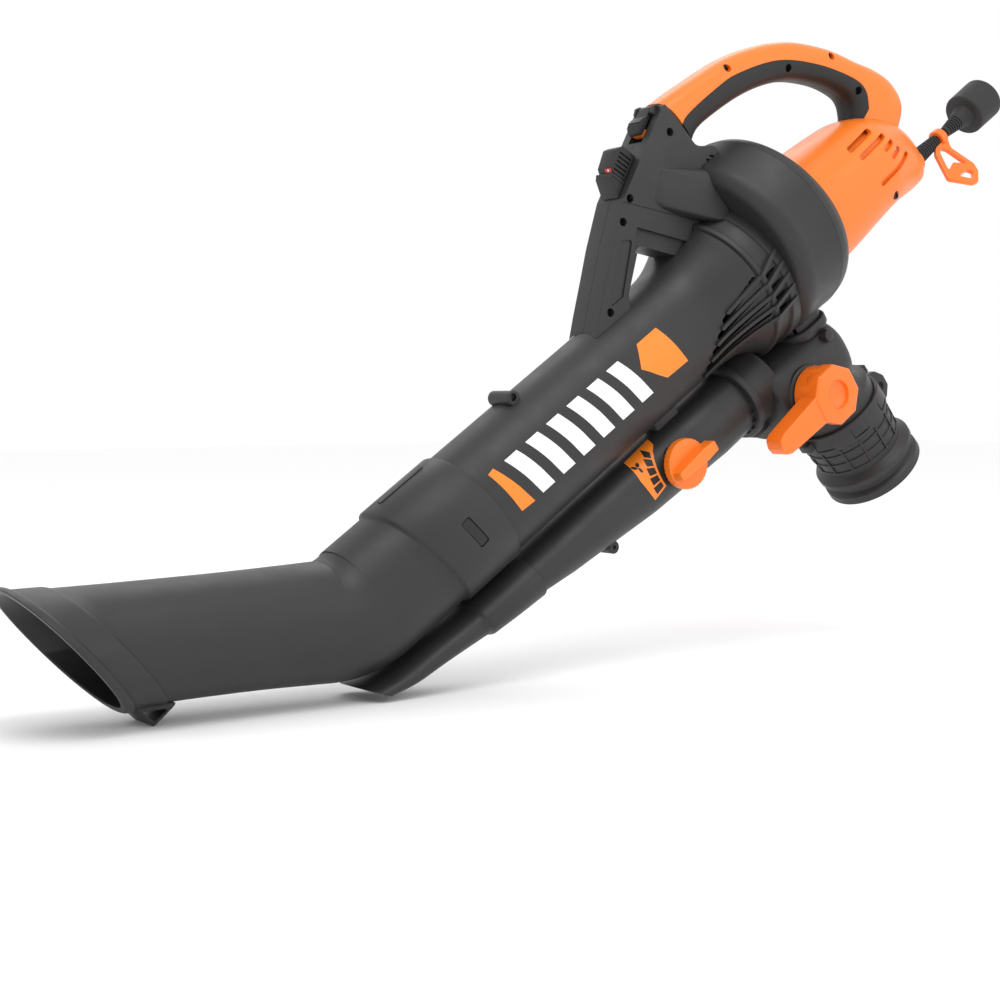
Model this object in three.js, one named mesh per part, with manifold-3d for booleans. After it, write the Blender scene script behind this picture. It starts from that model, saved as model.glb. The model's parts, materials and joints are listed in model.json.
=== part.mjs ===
// Corded garden blower, vacuum and mulcher. Millimetres, +Z up.
//
// Machine frame: the suction tube lies along X with its nozzle at -X, the cord leaves at +X, Z points to the
// handles, the controls are on the -Y side, and the fan's centre is the origin. The exported group holds the
// machine in its working pose: nozzle level near the ground, tube sloping up to the hand, with the part's
// origin in the middle of the rear grip.
import * as THREE from 'three';
import { mergeVertices } from 'three/addons/utils/BufferGeometryUtils.js';
import Module from 'manifold-3d';

const wasm = await Module();
wasm.setup();

// ---------------------------------------------------------------- driving dimensions
const SLOPE = 35; // slope of the suction tube in the working pose, degrees
const GRIP = { x: 45, z: 141 }; // middle of the rear grip, the part's origin
const GAP = 0.3; // clearance between touching pieces
const WALL = 2.6;

const TUBE = { a: 42, b: 49.7, front: -454, flareStart: -172, ringX: -88, back: -62 };
const COLLAR = { a: 44.6, b: 52.2, rear: -394, front: -456 };
const NOZZLE = { bend: 33.6, bendX: -508.4, bendRadius: 70, axisHeight: -293, mouth: 659, mouthSlant: -0.893 };
const BLOWER = { front: -437, collarFront: -443, collarRear: -386, tip: -546, rear: -117, radius: 30, z: -86 };
const DRUM = { radius: 86.5, z: 17, front: -61, split: -11, rear: 21, rearRadius: 60 };
const INTAKE = { inner: 63.4, outer: 67, front: -84.6, eye: 48 };
const MOTOR = { front: 21.6, rear: 197 };
const SHAFT = { radius: 4, front: -61, rear: 152 };
const IMPELLER = { radius: 62, plateX: -24, bladeFront: -48, blades: 8 };
const CHAMBER = { half: 43, top: -70.6, floor: -150 };
const LEVER = { x: -76, z: -115, hub: 25, armEnd: -154 };
const OUTLET = { x: -16, z: -241, lean: 8, neck: 41.6 };
const DIAL = { x: -222, z: -82, radius: 21 };
const CORD = { radius: 3.75, z: -35, start: 196.5, end: 267.5 };
const HOUSING_HALF = 18; // half the width of the front handle and switch housing
const HANDLE_HALF = 18.5; // half the width of the rear handle

const DEG = Math.PI / 180;
const SIDES = 20; // sides of a tube's oval
const ROUND = 24; // sides of a large round piece

// ---------------------------------------------------------------- materials
const plastic = (color, roughness = 0.55) => new THREE.MeshStandardMaterial({ color, roughness, metalness: 0 });
const metal = (color, roughness = 0.35) => new THREE.MeshStandardMaterial({ color, roughness, metalness: 1 });
const CHARCOAL = plastic(0x2d2c2c);
const BLACK = plastic(0x1c1c1c, 0.6);
const ORANGE = plastic(0xf5842a, 0.4);
const LEVER_ORANGE = plastic(0xf7761f, 0.4);
const RUBBER = plastic(0x191919, 0.85);
const STEEL = metal(0x9a9ca0);
const DARK_STEEL = metal(0x33343a, 0.5);
const ALUMINIUM = metal(0xc2c4c8, 0.4);
const COPPER = metal(0xb0653a);
const CARBON = plastic(0x262626, 0.8);

// ---------------------------------------------------------------- solids
// A three.js geometry as a manifold solid with its faces pointing out.
function solid(geometry) {
  const bare = geometry.clone();
  for (const name of ['normal', 'uv']) bare.deleteAttribute(name);
  const merged = mergeVertices(bare, 1e-4);
  const position = merged.attributes.position.array;
  let index = Array.from(merged.index.array);
  index = dropFlat(index);
  if (signedVolume(position, index) < 0) flip(index);
  return new wasm.Manifold(new wasm.Mesh({
    numProp: 3,
    vertProperties: new Float32Array(position),
    triVerts: new Uint32Array(index),
  }));
}

function dropFlat(index) {
  const kept = [];
  for (let i = 0; i < index.length; i += 3) {
    const [a, b, c] = index.slice(i, i + 3);
    if (a !== b && b !== c && c !== a) kept.push(a, b, c);
  }
  return kept;
}

function signedVolume(p, index) {
  let sum = 0;
  for (let i = 0; i < index.length; i += 3) {
    const [a, b, c] = [index[i] * 3, index[i + 1] * 3, index[i + 2] * 3];
    sum += p[a] * (p[b + 1] * p[c + 2] - p[b + 2] * p[c + 1])
      - p[a + 1] * (p[b] * p[c + 2] - p[b + 2] * p[c])
      + p[a + 2] * (p[b] * p[c + 1] - p[b + 1] * p[c]);
  }
  return sum;
}

function flip(index) {
  for (let i = 0; i < index.length; i += 3) [index[i], index[i + 1]] = [index[i + 1], index[i]];
}

const union = (first, ...rest) => rest.reduce((sum, next) => sum.add(next), first);
const without = (first, ...rest) => rest.reduce((left, next) => left.subtract(next), first);

function box(x0, x1, y0, y1, z0, z1) {
  const geometry = new THREE.BoxGeometry(x1 - x0, y1 - y0, z1 - z0);
  return solid(geometry.translate((x0 + x1) / 2, (y0 + y1) / 2, (z0 + z1) / 2));
}

// A turned piece about the X axis: the profile is a closed list of [x, radius].
function turnedX(profile, { y = 0, z = 0, sides = ROUND } = {}) {
  const points = [...profile, profile[0]].map(([x, r]) => new THREE.Vector2(r, x));
  const geometry = new THREE.LatheGeometry(points, sides).rotateZ(-Math.PI / 2);
  return solid(geometry.translate(0, y, z));
}

const rodX = (x0, x1, radius, place = {}) => turnedX([[x0, 0], [x0, radius], [x1, radius], [x1, 0]], place);
const sleeveX = (x0, x1, inner, outer, place = {}) =>
  turnedX([[x0, inner], [x0, outer], [x1, outer], [x1, inner]], place);

// The same about Y, at a place in the XZ plane.
function turnedY(profile, x, z, sides = 24) {
  const points = [...profile, profile[0]].map(([y, r]) => new THREE.Vector2(r, y));
  return solid(new THREE.LatheGeometry(points, sides).translate(x, 0, z));
}

const rodY = (x, z, radius, y0, y1, sides = 24) =>
  turnedY([[y0, 0], [y0, radius], [y1, radius], [y1, 0]], x, z, sides);

// The same about Z, at the origin.
function turnedZ(profile, sides = ROUND) {
  const points = [...profile, profile[0]].map(([z, r]) => new THREE.Vector2(r, z));
  return solid(new THREE.LatheGeometry(points, sides).rotateX(Math.PI / 2));
}

// An outline in the XZ plane given thickness along Y, with rounded rims.
function plateY(outline, y0, y1, rim = 0) {
  const shape = outline instanceof THREE.Shape ? outline
    : new THREE.Shape(outline.map(([x, z]) => new THREE.Vector2(x, z)));
  const geometry = new THREE.ExtrudeGeometry(shape, {
    depth: y1 - y0 - 2 * rim,
    curveSegments: 6,
    bevelEnabled: rim > 0,
    bevelThickness: rim,
    bevelSize: rim,
    bevelOffset: -rim,
    bevelSegments: 1,
  });
  return solid(geometry.rotateX(Math.PI / 2).translate(0, y1 - rim, 0));
}

// One oval ring of points square to an axis that slopes by `turn` degrees, its plane leaning by `slant`.
function ring({ x, y = 0, z = 0, a, b = a, turn = 0, slant = 0, power = 2.15 }) {
  const [c, s] = [Math.cos(turn * DEG), Math.sin(turn * DEG)];
  return Array.from({ length: SIDES }, (_, i) => {
    const angle = (i / SIDES) * 2 * Math.PI;
    const across = a * Math.sign(Math.cos(angle)) * Math.abs(Math.cos(angle)) ** (2 / power);
    const up = b * Math.sign(Math.sin(angle)) * Math.abs(Math.sin(angle)) ** (2 / power);
    const along = slant * up;
    return [x + c * along + s * up, y + across, z - s * along + c * up];
  });
}

// Rings joined into one solid. A hollow loft is outer rings, then inner rings on the way back.
function loft(rings, hollow = false) {
  const points = rings.flat();
  const count = rings.length;
  const index = [];
  for (let k = 0; k < (hollow ? count : count - 1); k += 1) {
    const [lower, upper] = [k * SIDES, ((k + 1) % count) * SIDES];
    for (let i = 0; i < SIDES; i += 1) {
      const j = (i + 1) % SIDES;
      index.push(lower + i, lower + j, upper + j, lower + i, upper + j, upper + i);
    }
  }
  if (!hollow) {
    for (const [start, turnOver] of [[0, true], [(count - 1) * SIDES, false]]) {
      const ends = points.slice(start, start + SIDES);
      const middle = points.push([0, 1, 2].map((k) => ends.reduce((sum, p) => sum + p[k], 0) / SIDES)) - 1;
      for (let i = 0; i < SIDES; i += 1) {
        const edge = [start + i, start + ((i + 1) % SIDES)];
        index.push(middle, ...(turnOver ? edge.reverse() : edge));
      }
    }
  }
  const geometry = new THREE.BufferGeometry();
  geometry.setAttribute('position', new THREE.Float32BufferAttribute(points.flat(), 3));
  geometry.setIndex(index);
  return solid(geometry);
}

const hollowLoft = (outer, inner) => loft([...outer, ...inner.reverse()].map(ring), true);

// A table of stations [x, values...] read at any x.
function stationAt(table, x) {
  const last = table.findIndex((row) => row[0] >= x);
  const k = Math.max(1, last < 0 ? table.length - 1 : last);
  const [lower, upper] = [table[k - 1], table[k]];
  const t = (x - lower[0]) / (upper[0] - lower[0]);
  return lower.map((value, i) => value + (upper[i] - value) * t);
}

// ---------------------------------------------------------------- group and naming
const machine = new THREE.Group();

function add(name, shape, material) {
  const mesh = shape.getMesh();
  const geometry = new THREE.BufferGeometry();
  geometry.setAttribute('position', new THREE.Float32BufferAttribute(mesh.vertProperties, 3));
  geometry.setIndex(Array.from(mesh.triVerts));
  geometry.computeVertexNormals();
  const node = new THREE.Mesh(geometry, material);
  node.name = name;
  machine.add(node);
  return shape;
}

// Left (-Y) and right (+Y) halves of a shell, parted on the middle plane.
function halves(name, shape, material) {
  const reach = 2000;
  add(`${name}_left`, shape.intersect(box(-reach, reach, -reach, -GAP / 2, -reach, reach)), material);
  add(`${name}_right`, shape.intersect(box(-reach, reach, GAP / 2, reach, -reach, reach)), material);
}

// ---------------------------------------------------------------- suction nozzle
// A point on the nozzle: `along` is its distance down the sloping axis, `up` its height over that axis's datum.
function onNozzle(along, up) {
  const [c, s] = [Math.cos(NOZZLE.bend * DEG), Math.sin(NOZZLE.bend * DEG)];
  return [-c * along + s * up, s * along + c * up];
}

function nozzleRing(along, a, b, slant) {
  const [x, z] = onNozzle(along, NOZZLE.axisHeight);
  return { x, z, a, b, turn: NOZZLE.bend, slant };
}

function bendRing(turn, a, b, slant = 0) {
  const { bendX, bendRadius } = NOZZLE;
  return {
    x: bendX - bendRadius * Math.sin(turn * DEG),
    z: bendRadius * (1 - Math.cos(turn * DEG)),
    a, b, turn, slant,
  };
}

function suctionNozzle() {
  const { mouth, mouthSlant } = NOZZLE;
  const outer = [
    { x: COLLAR.rear, a: COLLAR.a, b: COLLAR.b, slant: -0.1 },
    { x: COLLAR.front, a: COLLAR.a, b: COLLAR.b, slant: -0.25 },
    { x: COLLAR.front - 3, a: 41.8, b: 49, slant: -0.25 },
    bendRing(0, 41.8, 49),
    bendRing(11, 41.9, 47.6),
    bendRing(22, 42.1, 46),
    bendRing(NOZZLE.bend, 42.5, 44.5),
    nozzleRing(525, 44, 42.6, -0.25),
    nozzleRing(590, 46.8, 42, -0.6),
    nozzleRing(626, 48.6, 42, -0.85),
    nozzleRing(627.5, 50.2, 43.4, mouthSlant),
    nozzleRing(mouth - 8, 50.8, 43.6, mouthSlant),
    nozzleRing(mouth - 6, 53, 45.6, mouthSlant),
    nozzleRing(mouth, 53, 45.6, mouthSlant),
  ];
  const inner = [
    { x: COLLAR.rear, a: TUBE.a + GAP, b: TUBE.b + GAP, slant: -0.1 },
    { x: COLLAR.front + 1.4, a: TUBE.a + GAP, b: TUBE.b + GAP, slant: -0.25 },
    { x: COLLAR.front + 0.8, a: 39.2, b: 46.4, slant: -0.25 },
    bendRing(0, 39.2, 46.4),
    bendRing(11, 39.3, 45),
    bendRing(22, 39.5, 43.4),
    bendRing(NOZZLE.bend, 39.9, 41.9),
    nozzleRing(525, 41.4, 40, -0.25),
    nozzleRing(590, 44.2, 39.4, -0.6),
    nozzleRing(626, 46, 39.4, -0.85),
    nozzleRing(mouth, 48, 41, mouthSlant),
  ];
  const tripod = [[580, -333.4], [615, -333.4], [599, -348]].map(([f, n]) => onNozzle(f, n));
  const hole = [[587, -336.6], [608, -336.6], [598.4, -345.4]].map(([f, n]) => onNozzle(f, n));
  const foot = plateY(tripod, -16, 16).subtract(plateY(hole, -17, 17));
  const inside = loft(inner.slice(5).map(ring));
  const key = box(-458, -412, -4, 4, 40, COLLAR.b + 1.6)
    .subtract(loft([{ x: -470, a: COLLAR.a - 1, b: COLLAR.b - 1 }, { x: -380, a: COLLAR.a - 1, b: COLLAR.b - 1 }]
      .map(ring)));
  const shell = hollowLoft(outer, inner);
  return without(union(shell, foot.subtract(inside), key), latchWindow(0.5));
}

const latchWindow = (clear) => plateY(
  [[-429, 13.5], [-421, 14.5], [-416, -9.5], [-424, -10.5]].map(([x, z]) => [
    x + Math.sign(x + 422.5) * clear, z + Math.sign(z) * clear]), -60, -30);

add('suction_nozzle', suctionNozzle(), CHARCOAL);
add('nozzle_latch', latchWindow(0).intersect(box(-435, -410, -45.4, -37, -20, 20)), BLACK);

// ---------------------------------------------------------------- suction tube
const TUBE_STATIONS = [ // x, half width, half height, centre height
  [TUBE.front, TUBE.a, TUBE.b, 0],
  [TUBE.flareStart, TUBE.a, TUBE.b, 0],
  [-150, 43.6, 50.2, 0.4],
  [-130, 47.5, 51.5, 1.4],
  [-108, 57.5, 55.5, 3],
  [-92, 66, 64, 1],
];

function suctionTube() {
  const stations = TUBE_STATIONS.map(([x, a, b, z], i) => ({ x, a, b, z, slant: i === 0 ? -0.25 : 0 }));
  const round = (x, r) => ({ x, a: r, power: 2 });
  const outer = [...stations, round(-90, 66.4), round(-89.4, 69), round(-85, 69), round(-84.9, 63),
    round(TUBE.back, 63)];
  const inner = [...stations.map((s) => ({ ...s, a: s.a - WALL, b: s.b - WALL })),
    round(-84.5, 60.4), round(TUBE.back, 60.4)];
  const slots = [0, 1, 2, 3].flatMap((i) => [-1, 1].map((side) => airSlot(i, side)));
  const boss = rodY(-319.5, 51.5, 6, -14, 14, 16).subtract(loft([
    { x: -340, a: TUBE.a - 1, b: TUBE.b - 1 }, { x: -300, a: TUBE.a - 1, b: TUBE.b - 1 }].map(ring)));
  const bore = rodY(-319.5, 53, 1.8, -15, 2, 12);
  return without(union(hollowLoft(outer, inner), boss), ...slots, latchWindow(0.5), bore);
}

// One slanting bypass slot in the flare, cut through the wall on one side.
function airSlot(i, side) {
  const [x0, z0] = [-130 - 9 * i, -4 - 9.6 * i];
  const [x1, z1] = [-93.5, 13.5 - 11.2 * i];
  const [y0, y1] = side < 0 ? [-80, -20] : [20, 80];
  return plateY([[x0, z0 - 2.4], [x1, z1 - 2.6], [x1, z1 + 2.6], [x0, z0 + 2.4]], y0, y1);
}

const tube = add('suction_tube', suctionTube(), CHARCOAL);
const tubeBody = (grow) => loft([...TUBE_STATIONS.map(([x, a, b, z]) => ({ x, z, a: a + grow, b: b + grow })),
  { x: -90, a: 69 + grow, power: 2 }, { x: -84.9, a: 69 + grow, power: 2 }].map(ring));

// ---------------------------------------------------------------- blower tube
const BLOWER_STATIONS = [ // x, half width, half height, centre height
  [-460, 29.5, 13, -66.6],
  [BLOWER.front, 28.2, 15.4, -71],
  [-418, 28.2, 16.2, -71.8],
  [BLOWER.collarRear, 28.2, 17.8, -73.4],
  [-351, 28.4, 21, -76.6],
  [-257, 29, 27, -83],
  [-165, BLOWER.radius, BLOWER.radius, BLOWER.z],
  [BLOWER.rear, BLOWER.radius, BLOWER.radius, BLOWER.z],
];

const blowerRing = (x, grow, slant = 0) => {
  const [, a, b, z] = stationAt(BLOWER_STATIONS, x);
  return { x, z, a: a + grow, b: b + grow, slant };
};

function blowerTube() {
  const places = [BLOWER.front, BLOWER.collarRear, -257, -165, BLOWER.rear];
  const shell = hollowLoft(places.map((x) => blowerRing(x, 0)), places.map((x) => blowerRing(x, -WALL)));
  const inside = loft([blowerRing(-320, -1), blowerRing(-180, -1)].map(ring));
  const dialSeat = rodY(DIAL.x, DIAL.z, 16, -33, -20, 24);
  const pointer = box(DIAL.x - 6, DIAL.x + 8, -37.4, -14, -112, -104.5);
  const boss = rodY(-306.5, -104.5, 5.5, -13, 13, 16);
  const solidShell = union(shell, union(dialSeat, pointer, boss).subtract(inside));
  return without(solidShell, rodY(DIAL.x, DIAL.z, 4.4, -40, 40), rodY(-306.5, -105.5, 1.8, -15, 2, 12));
}

function blowerNozzle() {
  const tip = (grow) => ({ x: BLOWER.tip, z: -53.5, a: 31 + grow, b: 10.5 + grow, slant: -0.8 });
  const outer = [blowerRing(BLOWER.collarRear, 2.2), blowerRing(BLOWER.collarFront, 2.2, -0.1),
    blowerRing(BLOWER.collarFront - 2.5, 0.6, -0.1), { x: -487, z: -63.6, a: 30.2, b: 12.3 },
    { x: -520, z: -60, a: 30.6, b: 10.8, slant: -0.3 }, tip(0)];
  const inner = [blowerRing(BLOWER.collarRear, GAP), blowerRing(BLOWER.front - 0.6, GAP),
    blowerRing(BLOWER.front - 1.2, -1.8), { x: -487, z: -63.6, a: 28, b: 10.1 },
    { x: -520, z: -60, a: 28.4, b: 8.6, slant: -0.3 }, tip(-2.2)];
  return hollowLoft(outer, inner);
}

add('blower_tube', blowerTube(), CHARCOAL);
add('blower_nozzle', blowerNozzle(), CHARCOAL);
add('tube_clip', box(-213, -185, -9, 9, -60.5, -50.2)
  .subtract(tubeBody(GAP)).subtract(loft([blowerRing(-240, GAP), blowerRing(-166, GAP)].map(ring))), CHARCOAL);

// Air-flow control: a dial whose slotted spindle turns a throttle plate across the blower tube.
function flowDial() {
  const { x, z, radius } = DIAL;
  const base = turnedY([[-33.4, 6], [-33.4, radius], [-38, radius], [-40.4, radius - 1.8], [-40.4, 6]], x, z, 24);
  const ridge = plateY([[x - 19, z - 3.6], [x + 16, z - 5.4], [x + 27, z - 4.4], [x + 27, z + 4.4],
    [x + 16, z + 5.4], [x - 19, z + 3.6]], -50, -38, 1.6);
  const spindle = rodY(x, z, 4, -40, 22, 16).subtract(box(x - 5, x + 5, -20.6, 20.6, z - 1.4, z + 1.4));
  return union(base, rodY(x, z, 7, -40, -34), ridge, spindle);
}

add('flow_dial', flowDial(), ORANGE);
add('throttle_plate', loft([[-20, 14], [-12, 20], [12, 20], [20, 14]]
  .map(([along, a]) => ring({ x: DIAL.x + along, z: DIAL.z, a, b: 1.1 }))), STEEL);

// ---------------------------------------------------------------- fan housing
function drumRing(x, r, z = DRUM.z) {
  return { x, z, a: r, power: 2 };
}

function fanHousingFront() {
  const { radius, z, front, split } = DRUM;
  const drum = turnedX([[front + 3, 30], [front, 76], [front + 2.4, 81.5], [front + 10, radius],
    [split - GAP / 2, radius], [split - GAP / 2, radius - 3], [front + 10, radius - 3], [front + 6, 76],
    [front + 6, 30]], { z, sides: 32 });
  const collar = turnedX([[INTAKE.front, INTAKE.inner], [INTAKE.front, INTAKE.outer], [-70, INTAKE.outer],
    [-69, INTAKE.outer + 3], [-56, INTAKE.outer + 3], [-56, INTAKE.inner]]);
  const neck = box(-56, split - GAP / 2, -34, 34, CHAMBER.top + GAP, -50);
  const neckBore = box(-52, split - 5, -30, 30, CHAMBER.top - 5, -40);
  const eye = rodX(-80, 0, INTAKE.eye, { sides: 28 });
  const inside = turnedX([[front + 6, 0], [front + 6, 76], [front + 10, radius - 3], [0, radius - 3], [0, 0]],
    { z, sides: 32 });
  const louvres = [0, 1, 2, 3].map((i) => box(-83, -71, -80, -50, 6 - 11 * i, 11 - 11 * i));
  const socket = rodX(-90, -57.5, INTAKE.inner, { sides: 28 });
  return without(union(drum, collar, neck.subtract(inside)), eye, neckBore, socket, ...louvres);
}

function fanHousingRear() {
  const { split, rear, rearRadius, radius } = DRUM;
  const outer = [drumRing(split + GAP / 2, radius), drumRing(-2, radius - 1.6, 16), drumRing(7, 78.5, 12),
    drumRing(14, 70.5, 7), drumRing(rear, rearRadius, 1)];
  const inner = [drumRing(split + GAP / 2, radius - 3), drumRing(-2, radius - 4.6, 16), drumRing(7, 75, 12),
    drumRing(14, 66.5, 7), drumRing(rear, rearRadius - 3, 1)];
  return hollowLoft(outer, inner);
}

add('fan_housing_front', fanHousingFront(), CHARCOAL);
add('fan_housing_rear', fanHousingRear(), CHARCOAL);
add('intake_seal', sleeveX(-61.6, -58.2, 56, 62.8), RUBBER);
add('bulkhead_plate', turnedX([[-9.2, 0], [-9.2, 80.6], [-7, 80.6], [-7, 0]], { z: DRUM.z, sides: 20 })
  .subtract(rodX(-12, -4, 14 + GAP, { sides: 24 })), DARK_STEEL);

// ---------------------------------------------------------------- rotating group
function impeller() {
  const { radius, plateX, bladeFront, blades } = IMPELLER;
  const disc = turnedX([[bladeFront + 4, SHAFT.radius + GAP], [bladeFront + 4, 11], [plateX - 2, 15],
    [plateX - 2, radius], [plateX, radius], [plateX, SHAFT.radius + GAP]]);
  const profile = [[11, bladeFront + 4], [26, bladeFront], [radius - 2, bladeFront + 8], [radius - 2, plateX - 1],
    [13, plateX - 1]];
  const blade = (k) => {
    const shape = new THREE.Shape(profile.map(([r, x]) => new THREE.Vector2(x, r)));
    const geometry = new THREE.ExtrudeGeometry(shape, { depth: 1.8, bevelEnabled: false });
    return solid(geometry.translate(0, 0, 3).rotateX((k / blades) * 2 * Math.PI));
  };
  return union(disc, ...Array.from({ length: blades }, (_, k) => blade(k)));
}

function shredderBlade() {
  const bar = plateY([[-53.6, -30], [-50.4, -30], [-50.4, 30], [-53.6, 30]], -5.5, 5.5);
  return bar.subtract(rodX(-60, -40, SHAFT.radius + GAP, { sides: 20 }));
}

function armature() {
  const core = turnedX([[52, SHAFT.radius + GAP], [52, 17], [58, 23], [100, 23], [106, 17],
    [106, SHAFT.radius + GAP]], { sides: 20 });
  const slots = Array.from({ length: 8 }, (_, k) => {
    const cut = box(57, 101, -1.6, 1.6, 20, 30);
    return cut.rotate([k * 45, 0, 0]);
  });
  return without(core, ...slots);
}

add('impeller', impeller(), ALUMINIUM);
add('shredder_blade', shredderBlade(), STEEL);
add('impeller_nut', rodX(-60, -54, 7.5, { sides: 6 })
  .subtract(rodX(-62, -52, SHAFT.radius + GAP, { sides: 20 })), STEEL);
add('motor_shaft', rodX(SHAFT.front, SHAFT.rear, SHAFT.radius, { sides: 20 }), STEEL);
add('armature', armature(), COPPER);
add('commutator', sleeveX(110, 126, SHAFT.radius + GAP, 12, { sides: 20 }), COPPER);

function coolingFan() {
  const hub = turnedX([[32, SHAFT.radius + GAP], [32, 9], [34, 34], [36, 34], [36, 12], [44, 9],
    [44, SHAFT.radius + GAP]], { sides: 30 });
  const vanes = Array.from({ length: 6 }, (_, k) => box(35.5, 44, -0.8, 0.8, 10, 33).rotate([k * 60, 0, 0]));
  return union(hub, ...vanes);
}

add('cooling_fan', coolingFan(), BLACK);

// ---------------------------------------------------------------- motor, fixed pieces
const bearing = (x0, x1) => sleeveX(x0, x1, SHAFT.radius + GAP, 14, { sides: 20 });
add('front_bearing', bearing(-9.4, -0.4), STEEL);
add('rear_bearing', bearing(140, 149), STEEL);

function stator() {
  const pack = turnedX([[50, 25], [50, 36], [108, 36], [108, 25]], { sides: 28 });
  const flats = [box(40, 120, -60, -33, -60, 60), box(40, 120, 33, 60, -60, 60)];
  const coils = [-1, 1].map((side) => turnedX([[45, 26], [45, 33], [51, 33], [51, 26]], { sides: 28 })
    .intersect(box(40, 60, -20, 20, side < 0 ? -60 : 5, side < 0 ? -5 : 60)));
  return without(union(pack, ...coils), ...flats);
}

function motorBracket() {
  const plate = turnedX([[136, 14.4], [136, 30], [152, 30], [152, 14.4]], { sides: 28 });
  const arms = [box(108.4, 152, -33, -27, -6, 6), box(108.4, 152, 27, 33, -6, 6)];
  return union(plate, ...arms);
}

add('stator', stator(), DARK_STEEL);
add('motor_bracket', motorBracket(), ALUMINIUM);
for (const [name, side] of [['brush_left', -1], ['brush_right', 1]]) {
  add(name, side < 0 ? box(114, 122, -26, -12.4, -3.5, 3.5) : box(114, 122, 12.4, 26, -3.5, 3.5), CARBON);
}

// ---------------------------------------------------------------- motor housing
const MOTOR_STATIONS = [ // x, half width, half height, centre height
  [MOTOR.front, 53, 53.5, 1],
  [60, 49, 51, 0],
  [103, 45, 48, 0],
  [150, 39, 42.5, -3],
  [178, 33, 35.5, -7],
  [190, 25, 28, -10],
  [MOTOR.rear, 13, 15, -14],
];

const motorRings = (grow) => MOTOR_STATIONS.map(([x, a, b, z]) => ({ x, z, a: a + grow, b: b + grow, power: 2.6 }));

const MOTOR_SCREW = { x: 117, z: -31, seat: -30 };

function motorHousing() {
  const inner = motorRings(-3).slice(0, -1).concat({ x: MOTOR.rear - 4, z: -12, a: 16, b: 18, power: 2.6 });
  inner.unshift({ ...inner[0], x: MOTOR.front - 1 });
  const shell = loft(motorRings(0).map(ring)).subtract(loft(inner.map(ring)));
  const vents = [[93, 127, 34], [98, 131, 23], [135, 150, 11], [135, 158, 1], [107, 160, -9]];
  const cuts = vents.map(([x0, x1, z]) => box(x0, x1, -70, 70, z - 1.8, z + 1.8));
  const gland = turnedX([[160, 0], [160, 5], [175.7, 5], [175.7, 11], [182.3, 11], [182.3, 9.3], [215, 9.3],
    [215, 0]], { z: CORD.z, sides: 20 });
  const glandSeat = rodX(170, 196, 13, { z: CORD.z, sides: 20 });
  const post = rodY(MOTOR_SCREW.x, MOTOR_SCREW.z, 5.5, -60, 60, 16);
  const whole = union(shell, glandSeat, post.intersect(loft(motorRings(-0.5).map(ring))));
  return without(whole, ...cuts, gland, screwBore(MOTOR_SCREW.x, MOTOR_SCREW.z, MOTOR_SCREW.seat));
}

// A screw enters from -Y: a wide bore for its head down to the seat, then a narrow one across the parting plane.
const SCREW = { head: 3.1, headDepth: 2.4, shank: 1.6, reach: 12 };
function screwBore(x, z, seat, reach = SCREW.reach) {
  return union(rodY(x, z, SCREW.head + 0.4, seat - 40, seat, 12), rodY(x, z, SCREW.shank + 0.4, seat - 1, reach, 8));
}

function screw(name, x, z, seat, reach = SCREW.reach) {
  const head = rodY(x, z, SCREW.head, seat - GAP - SCREW.headDepth, seat - GAP, 12);
  const cross = [box(x - 2, x + 2, seat - 4, seat - 1.6, z - 0.5, z + 0.5),
    box(x - 0.5, x + 0.5, seat - 4, seat - 1.6, z - 2, z + 2)];
  const shank = rodY(x, z, SCREW.shank, seat - 1.4, reach - 1, 8);
  add(name, union(without(head, ...cross), shank), DARK_STEEL);
}

halves('motor_housing', motorHousing(), ORANGE);
screw('motor_screw', MOTOR_SCREW.x, MOTOR_SCREW.z, MOTOR_SCREW.seat);

// ---------------------------------------------------------------- hollow mouldings
// Each corner of an outline moved inwards by `depth`, whichever way the outline runs.
function inset(outline, depth) {
  const count = outline.length;
  const area = outline.reduce((sum, [x, z], i) => {
    const [nx, nz] = outline[(i + 1) % count];
    return sum + x * nz - nx * z;
  }, 0);
  const side = Math.sign(area) * depth;
  return outline.map(([x, z], i) => {
    const [px, pz] = outline[(i + count - 1) % count];
    const [nx, nz] = outline[(i + 1) % count];
    const [before, after] = [Math.hypot(x - px, z - pz), Math.hypot(nx - x, nz - z)];
    const [ax, az] = [(px - x) / before, (pz - z) / before];
    const [bx, bz] = [(nx - x) / after, (nz - z) / after];
    const normal = [-(bz - az), bx - ax];
    const length = Math.hypot(...normal) || 1;
    const open = Math.max(0.45, length / 2);
    return [x + (normal[0] / length) * (side / open), z + (normal[1] / length) * (side / open)];
  });
}

function hollowPlate(outline, half, wall, rim) {
  const outer = plateY(outline, -half, half, rim);
  const hollow = plateY(inset(outline, wall), -half + wall, half - wall, Math.max(rim - wall, 0));
  return outer.subtract(hollow);
}

// Evenly spaced points of a smooth curve through the given ones.
const smooth = (points, count) => new THREE.SplineCurve(points.map(([x, z]) => new THREE.Vector2(x, z)))
  .getPoints(count).map((p) => [p.x, p.y]);

const drumBody = (grow) => turnedX([[DRUM.front - grow, 0], [DRUM.front - grow, 76 + grow],
  [DRUM.front + 2.4 - grow, 81.5 + grow], [DRUM.front + 10 - grow, DRUM.radius + grow],
  [DRUM.split + 12, DRUM.radius + grow], [DRUM.split + 12, 0]], { z: DRUM.z, sides: 32 });
const collarBody = (grow) => turnedX([[INTAKE.front - grow, 0], [INTAKE.front - grow, INTAKE.outer + grow],
  [-70 - grow, INTAKE.outer + grow], [-69 - grow, INTAKE.outer + 3 + grow], [-50, INTAKE.outer + 3 + grow],
  [-50, 0]]);

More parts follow.
